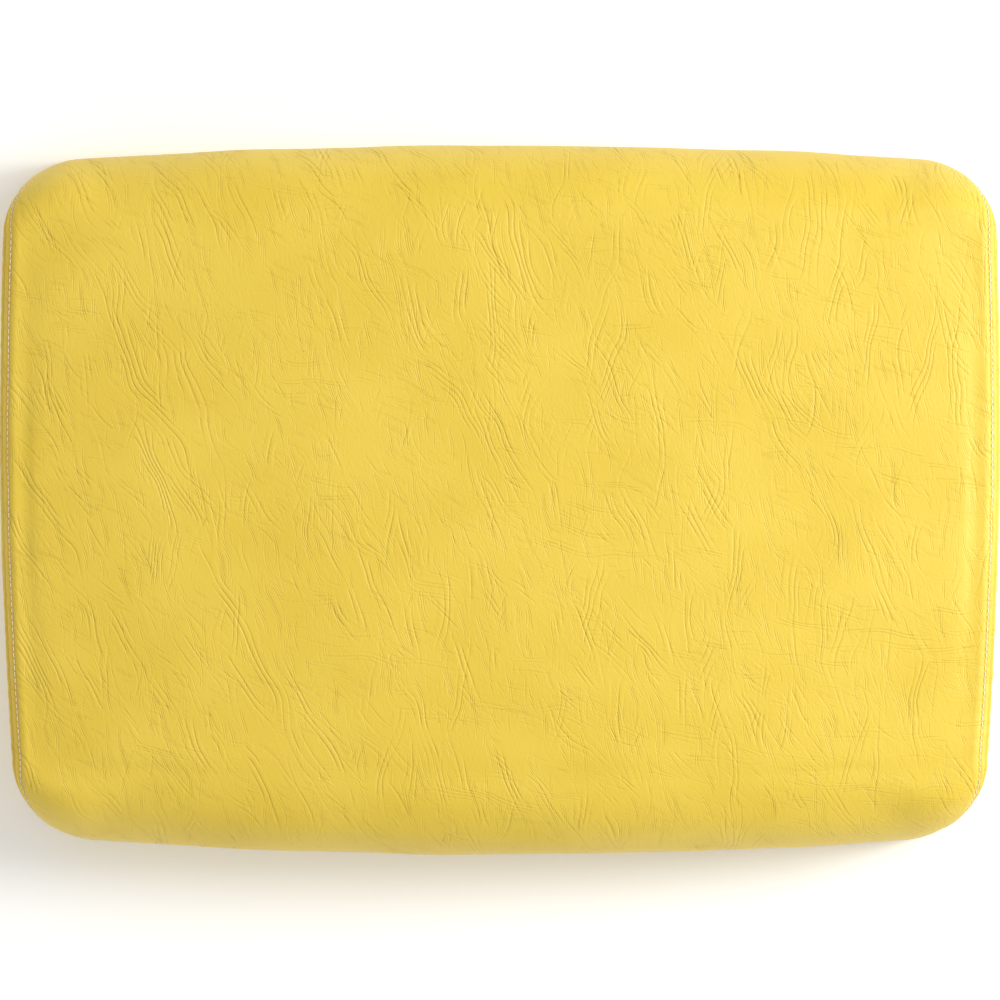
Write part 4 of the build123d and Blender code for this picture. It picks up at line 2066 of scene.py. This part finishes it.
@dataclass
class InsertThreads:
    """The screw thread inside each pronged insert."""

    places: list[tuple[float, float]]
    bore: float = 3.0 * MM
    ridge: float = 0.5 * MM
    pitch: float = 1.0 * MM
    turns: int = 8

    def build(self, zinc: bpy.types.Material) -> None:
        """Builds one helical ridge an insert."""
        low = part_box("threaded_inserts")[0].z + 1.2 * MM
        spots = [Matrix.Translation((*place, low)) for place in self.places]
        threads = repeated("insert_threads", self.helix(), spots)
        hand_over(threads, zinc, (), 50)

    def helix(self) -> bpy.types.Object:
        """One ridge round the Z axis."""
        bpy.ops.mesh.primitive_circle_add(vertices=3, radius=self.ridge, fill_type="NOTHING")
        piece = made("helix")
        half = self.pitch * 0.42
        root, crest = self.bore + 0.05 * MM, self.bore - self.ridge
        move_points(piece, np.array(((root, 0, -half), (root, 0, half), (crest, 0, 0))))
        screw = piece.modifiers.new("thread", "SCREW")
        screw.screw_offset, screw.iterations = self.pitch, self.turns
        screw.steps = screw.render_steps = 20
        apply_modifiers(piece)
        bpy.ops.object.mode_set(mode="EDIT")
        bpy.ops.mesh.select_all(action="SELECT")
        bpy.ops.mesh.remove_doubles(threshold=0.001 * MM)
        bpy.ops.mesh.fill_holes(sides=4)
        bpy.ops.mesh.select_all(action="SELECT")
        bpy.ops.mesh.normals_make_consistent(inside=False)
        bpy.ops.object.mode_set(mode="OBJECT")
        return piece


@dataclass(frozen=True)
class Lamp:
    """A round area light that faces the cushion."""

    name: str
    place: tuple[float, float, float]
    size: float
    power: float

    def build(self, target: Vector) -> None:
        """Hangs the light so that it looks at the target."""
        data = bpy.data.lights.new(self.name, "AREA")
        data.shape, data.size, data.energy = "DISK", self.size, self.power
        lamp = bpy.data.objects.new(self.name, data)
        lamp.location = self.place
        aim = target - Vector(self.place)
        lamp.rotation_euler = aim.to_track_quat("-Z", "Y").to_euler()
        bpy.context.collection.objects.link(lamp)


@dataclass
class Stage:
    """The floor, the lights and the camera."""

    view_height: float = 76 * MM
    view_width: float = 498.5 * MM
    lens: float = 500.0
    room_light: float = 0.60
    floor_glow: float = 0.16
    lamp_target: tuple[float, float, float] = (0.0, 0.0, 50 * MM)
    key: Lamp = Lamp("key", (2.0, 0.35, 1.25), 0.8, 33.5)
    sheen: Lamp = Lamp("sheen", (1.0, 0.45, 1.7), 1.1, 9.5)

    def build(self) -> None:
        """Builds all three."""
        bpy.context.scene.view_settings.view_transform = "Standard"
        self.floor()
        self.lights()
        self.camera()

    def floor(self) -> None:
        """A plain pale floor."""
        bpy.ops.mesh.primitive_plane_add(size=8.0)
        floor = made("floor")
        material, sketch, shader = new_material("pale_floor")
        place = sketch.object_place()
        cloud = sketch.noise(place, 0.4, 2).outputs[0]
        colour = mixed(sketch, cloud, (0.93, 0.93, 0.93), (0.95, 0.95, 0.95))
        sketch.feed(shader.inputs["Base Color"], colour)
        set_plain(shader, Roughness=0.9, Emission_Color=(0.96, 0.98, 1.0, 1.0))
        set_plain(shader, Emission_Strength=self.floor_glow)
        floor.data.materials.append(material)

    def lights(self) -> None:
        """A soft key low on the right, a higher one for the sheen and a bright room."""
        world = bpy.data.worlds.new("room")
        bpy.context.scene.world = world
        world.use_nodes = True
        background = world.node_tree.nodes["Background"]
        background.inputs[0].default_value = (1.0, 0.99, 0.97, 1.0)
        background.inputs[1].default_value = self.room_light
        for lamp in (self.key, self.sheen):
            lamp.build(Vector(self.lamp_target))

    def camera(self) -> None:
        """Straight above, with the front at the picture's foot."""
        data = bpy.data.cameras.new("camera")
        data.lens = self.lens
        eye = bpy.data.objects.new("camera", data)
        away = self.view_width * self.lens / data.sensor_width
        eye.location = (0.0, 0.0, self.view_height + away)
        data.clip_end = 20.0
        bpy.context.collection.objects.link(eye)
        bpy.context.scene.camera = eye


def main() -> None:
    """Builds the cushion, piece by piece."""
    logging.basicConfig(level=logging.INFO, format="%(name)s: %(message)s")
    low, high = CAD_BOX
    size = high - low
    form = CushionForm(width=size.x, depth=size.y, height=high.z)
    effects = SharedEffects()
    Stage().build()
    cover = Cover(form)
    cover.build(VinylFinish().material())
    Topstitching(cover).build(ThreadFinish().material())
    soft = FoamFinish("soft_foam", (0.80, 0.78, 0.70), (0.42, 0.38, 0.30), 0.9 * MM)
    firm = FoamFinish("firm_foam", (0.55, 0.62, 0.70), (0.24, 0.29, 0.35), 0.6 * MM)
    Padding(cover).build(
        WaddingFinish().material(), soft.material(effects), firm.material(effects)
    )
    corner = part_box("threaded_inserts")[1]
    bolt_x, bolt_y = corner.x - FLANGE_RADIUS, corner.y - FLANGE_RADIUS
    bolts = [(x, y) for x in (-bolt_x, bolt_x) for y in (-bolt_y, bolt_y)]
    DustCloth().build(ClothFinish().material(), bolts)
    zinc = MetalFinish("zinc_plated_steel", (0.70, 0.71, 0.74), (0.42, 0.41, 0.40), 0.26)
    wire = MetalFinish("staple_wire", (0.66, 0.66, 0.67), (0.38, 0.36, 0.34), 0.22)
    steel = zinc.material(effects)
    Staples().build(wire.material(effects))
    InsertThreads(bolts).build(steel)
    for name, material in (("base_board", PlywoodFinish().material()), ("threaded_inserts", steel)):
        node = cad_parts[name]
        node.data.materials.clear()
        node.data.materials.append(material)
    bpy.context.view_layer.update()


if __name__ == "__main__":
    main()
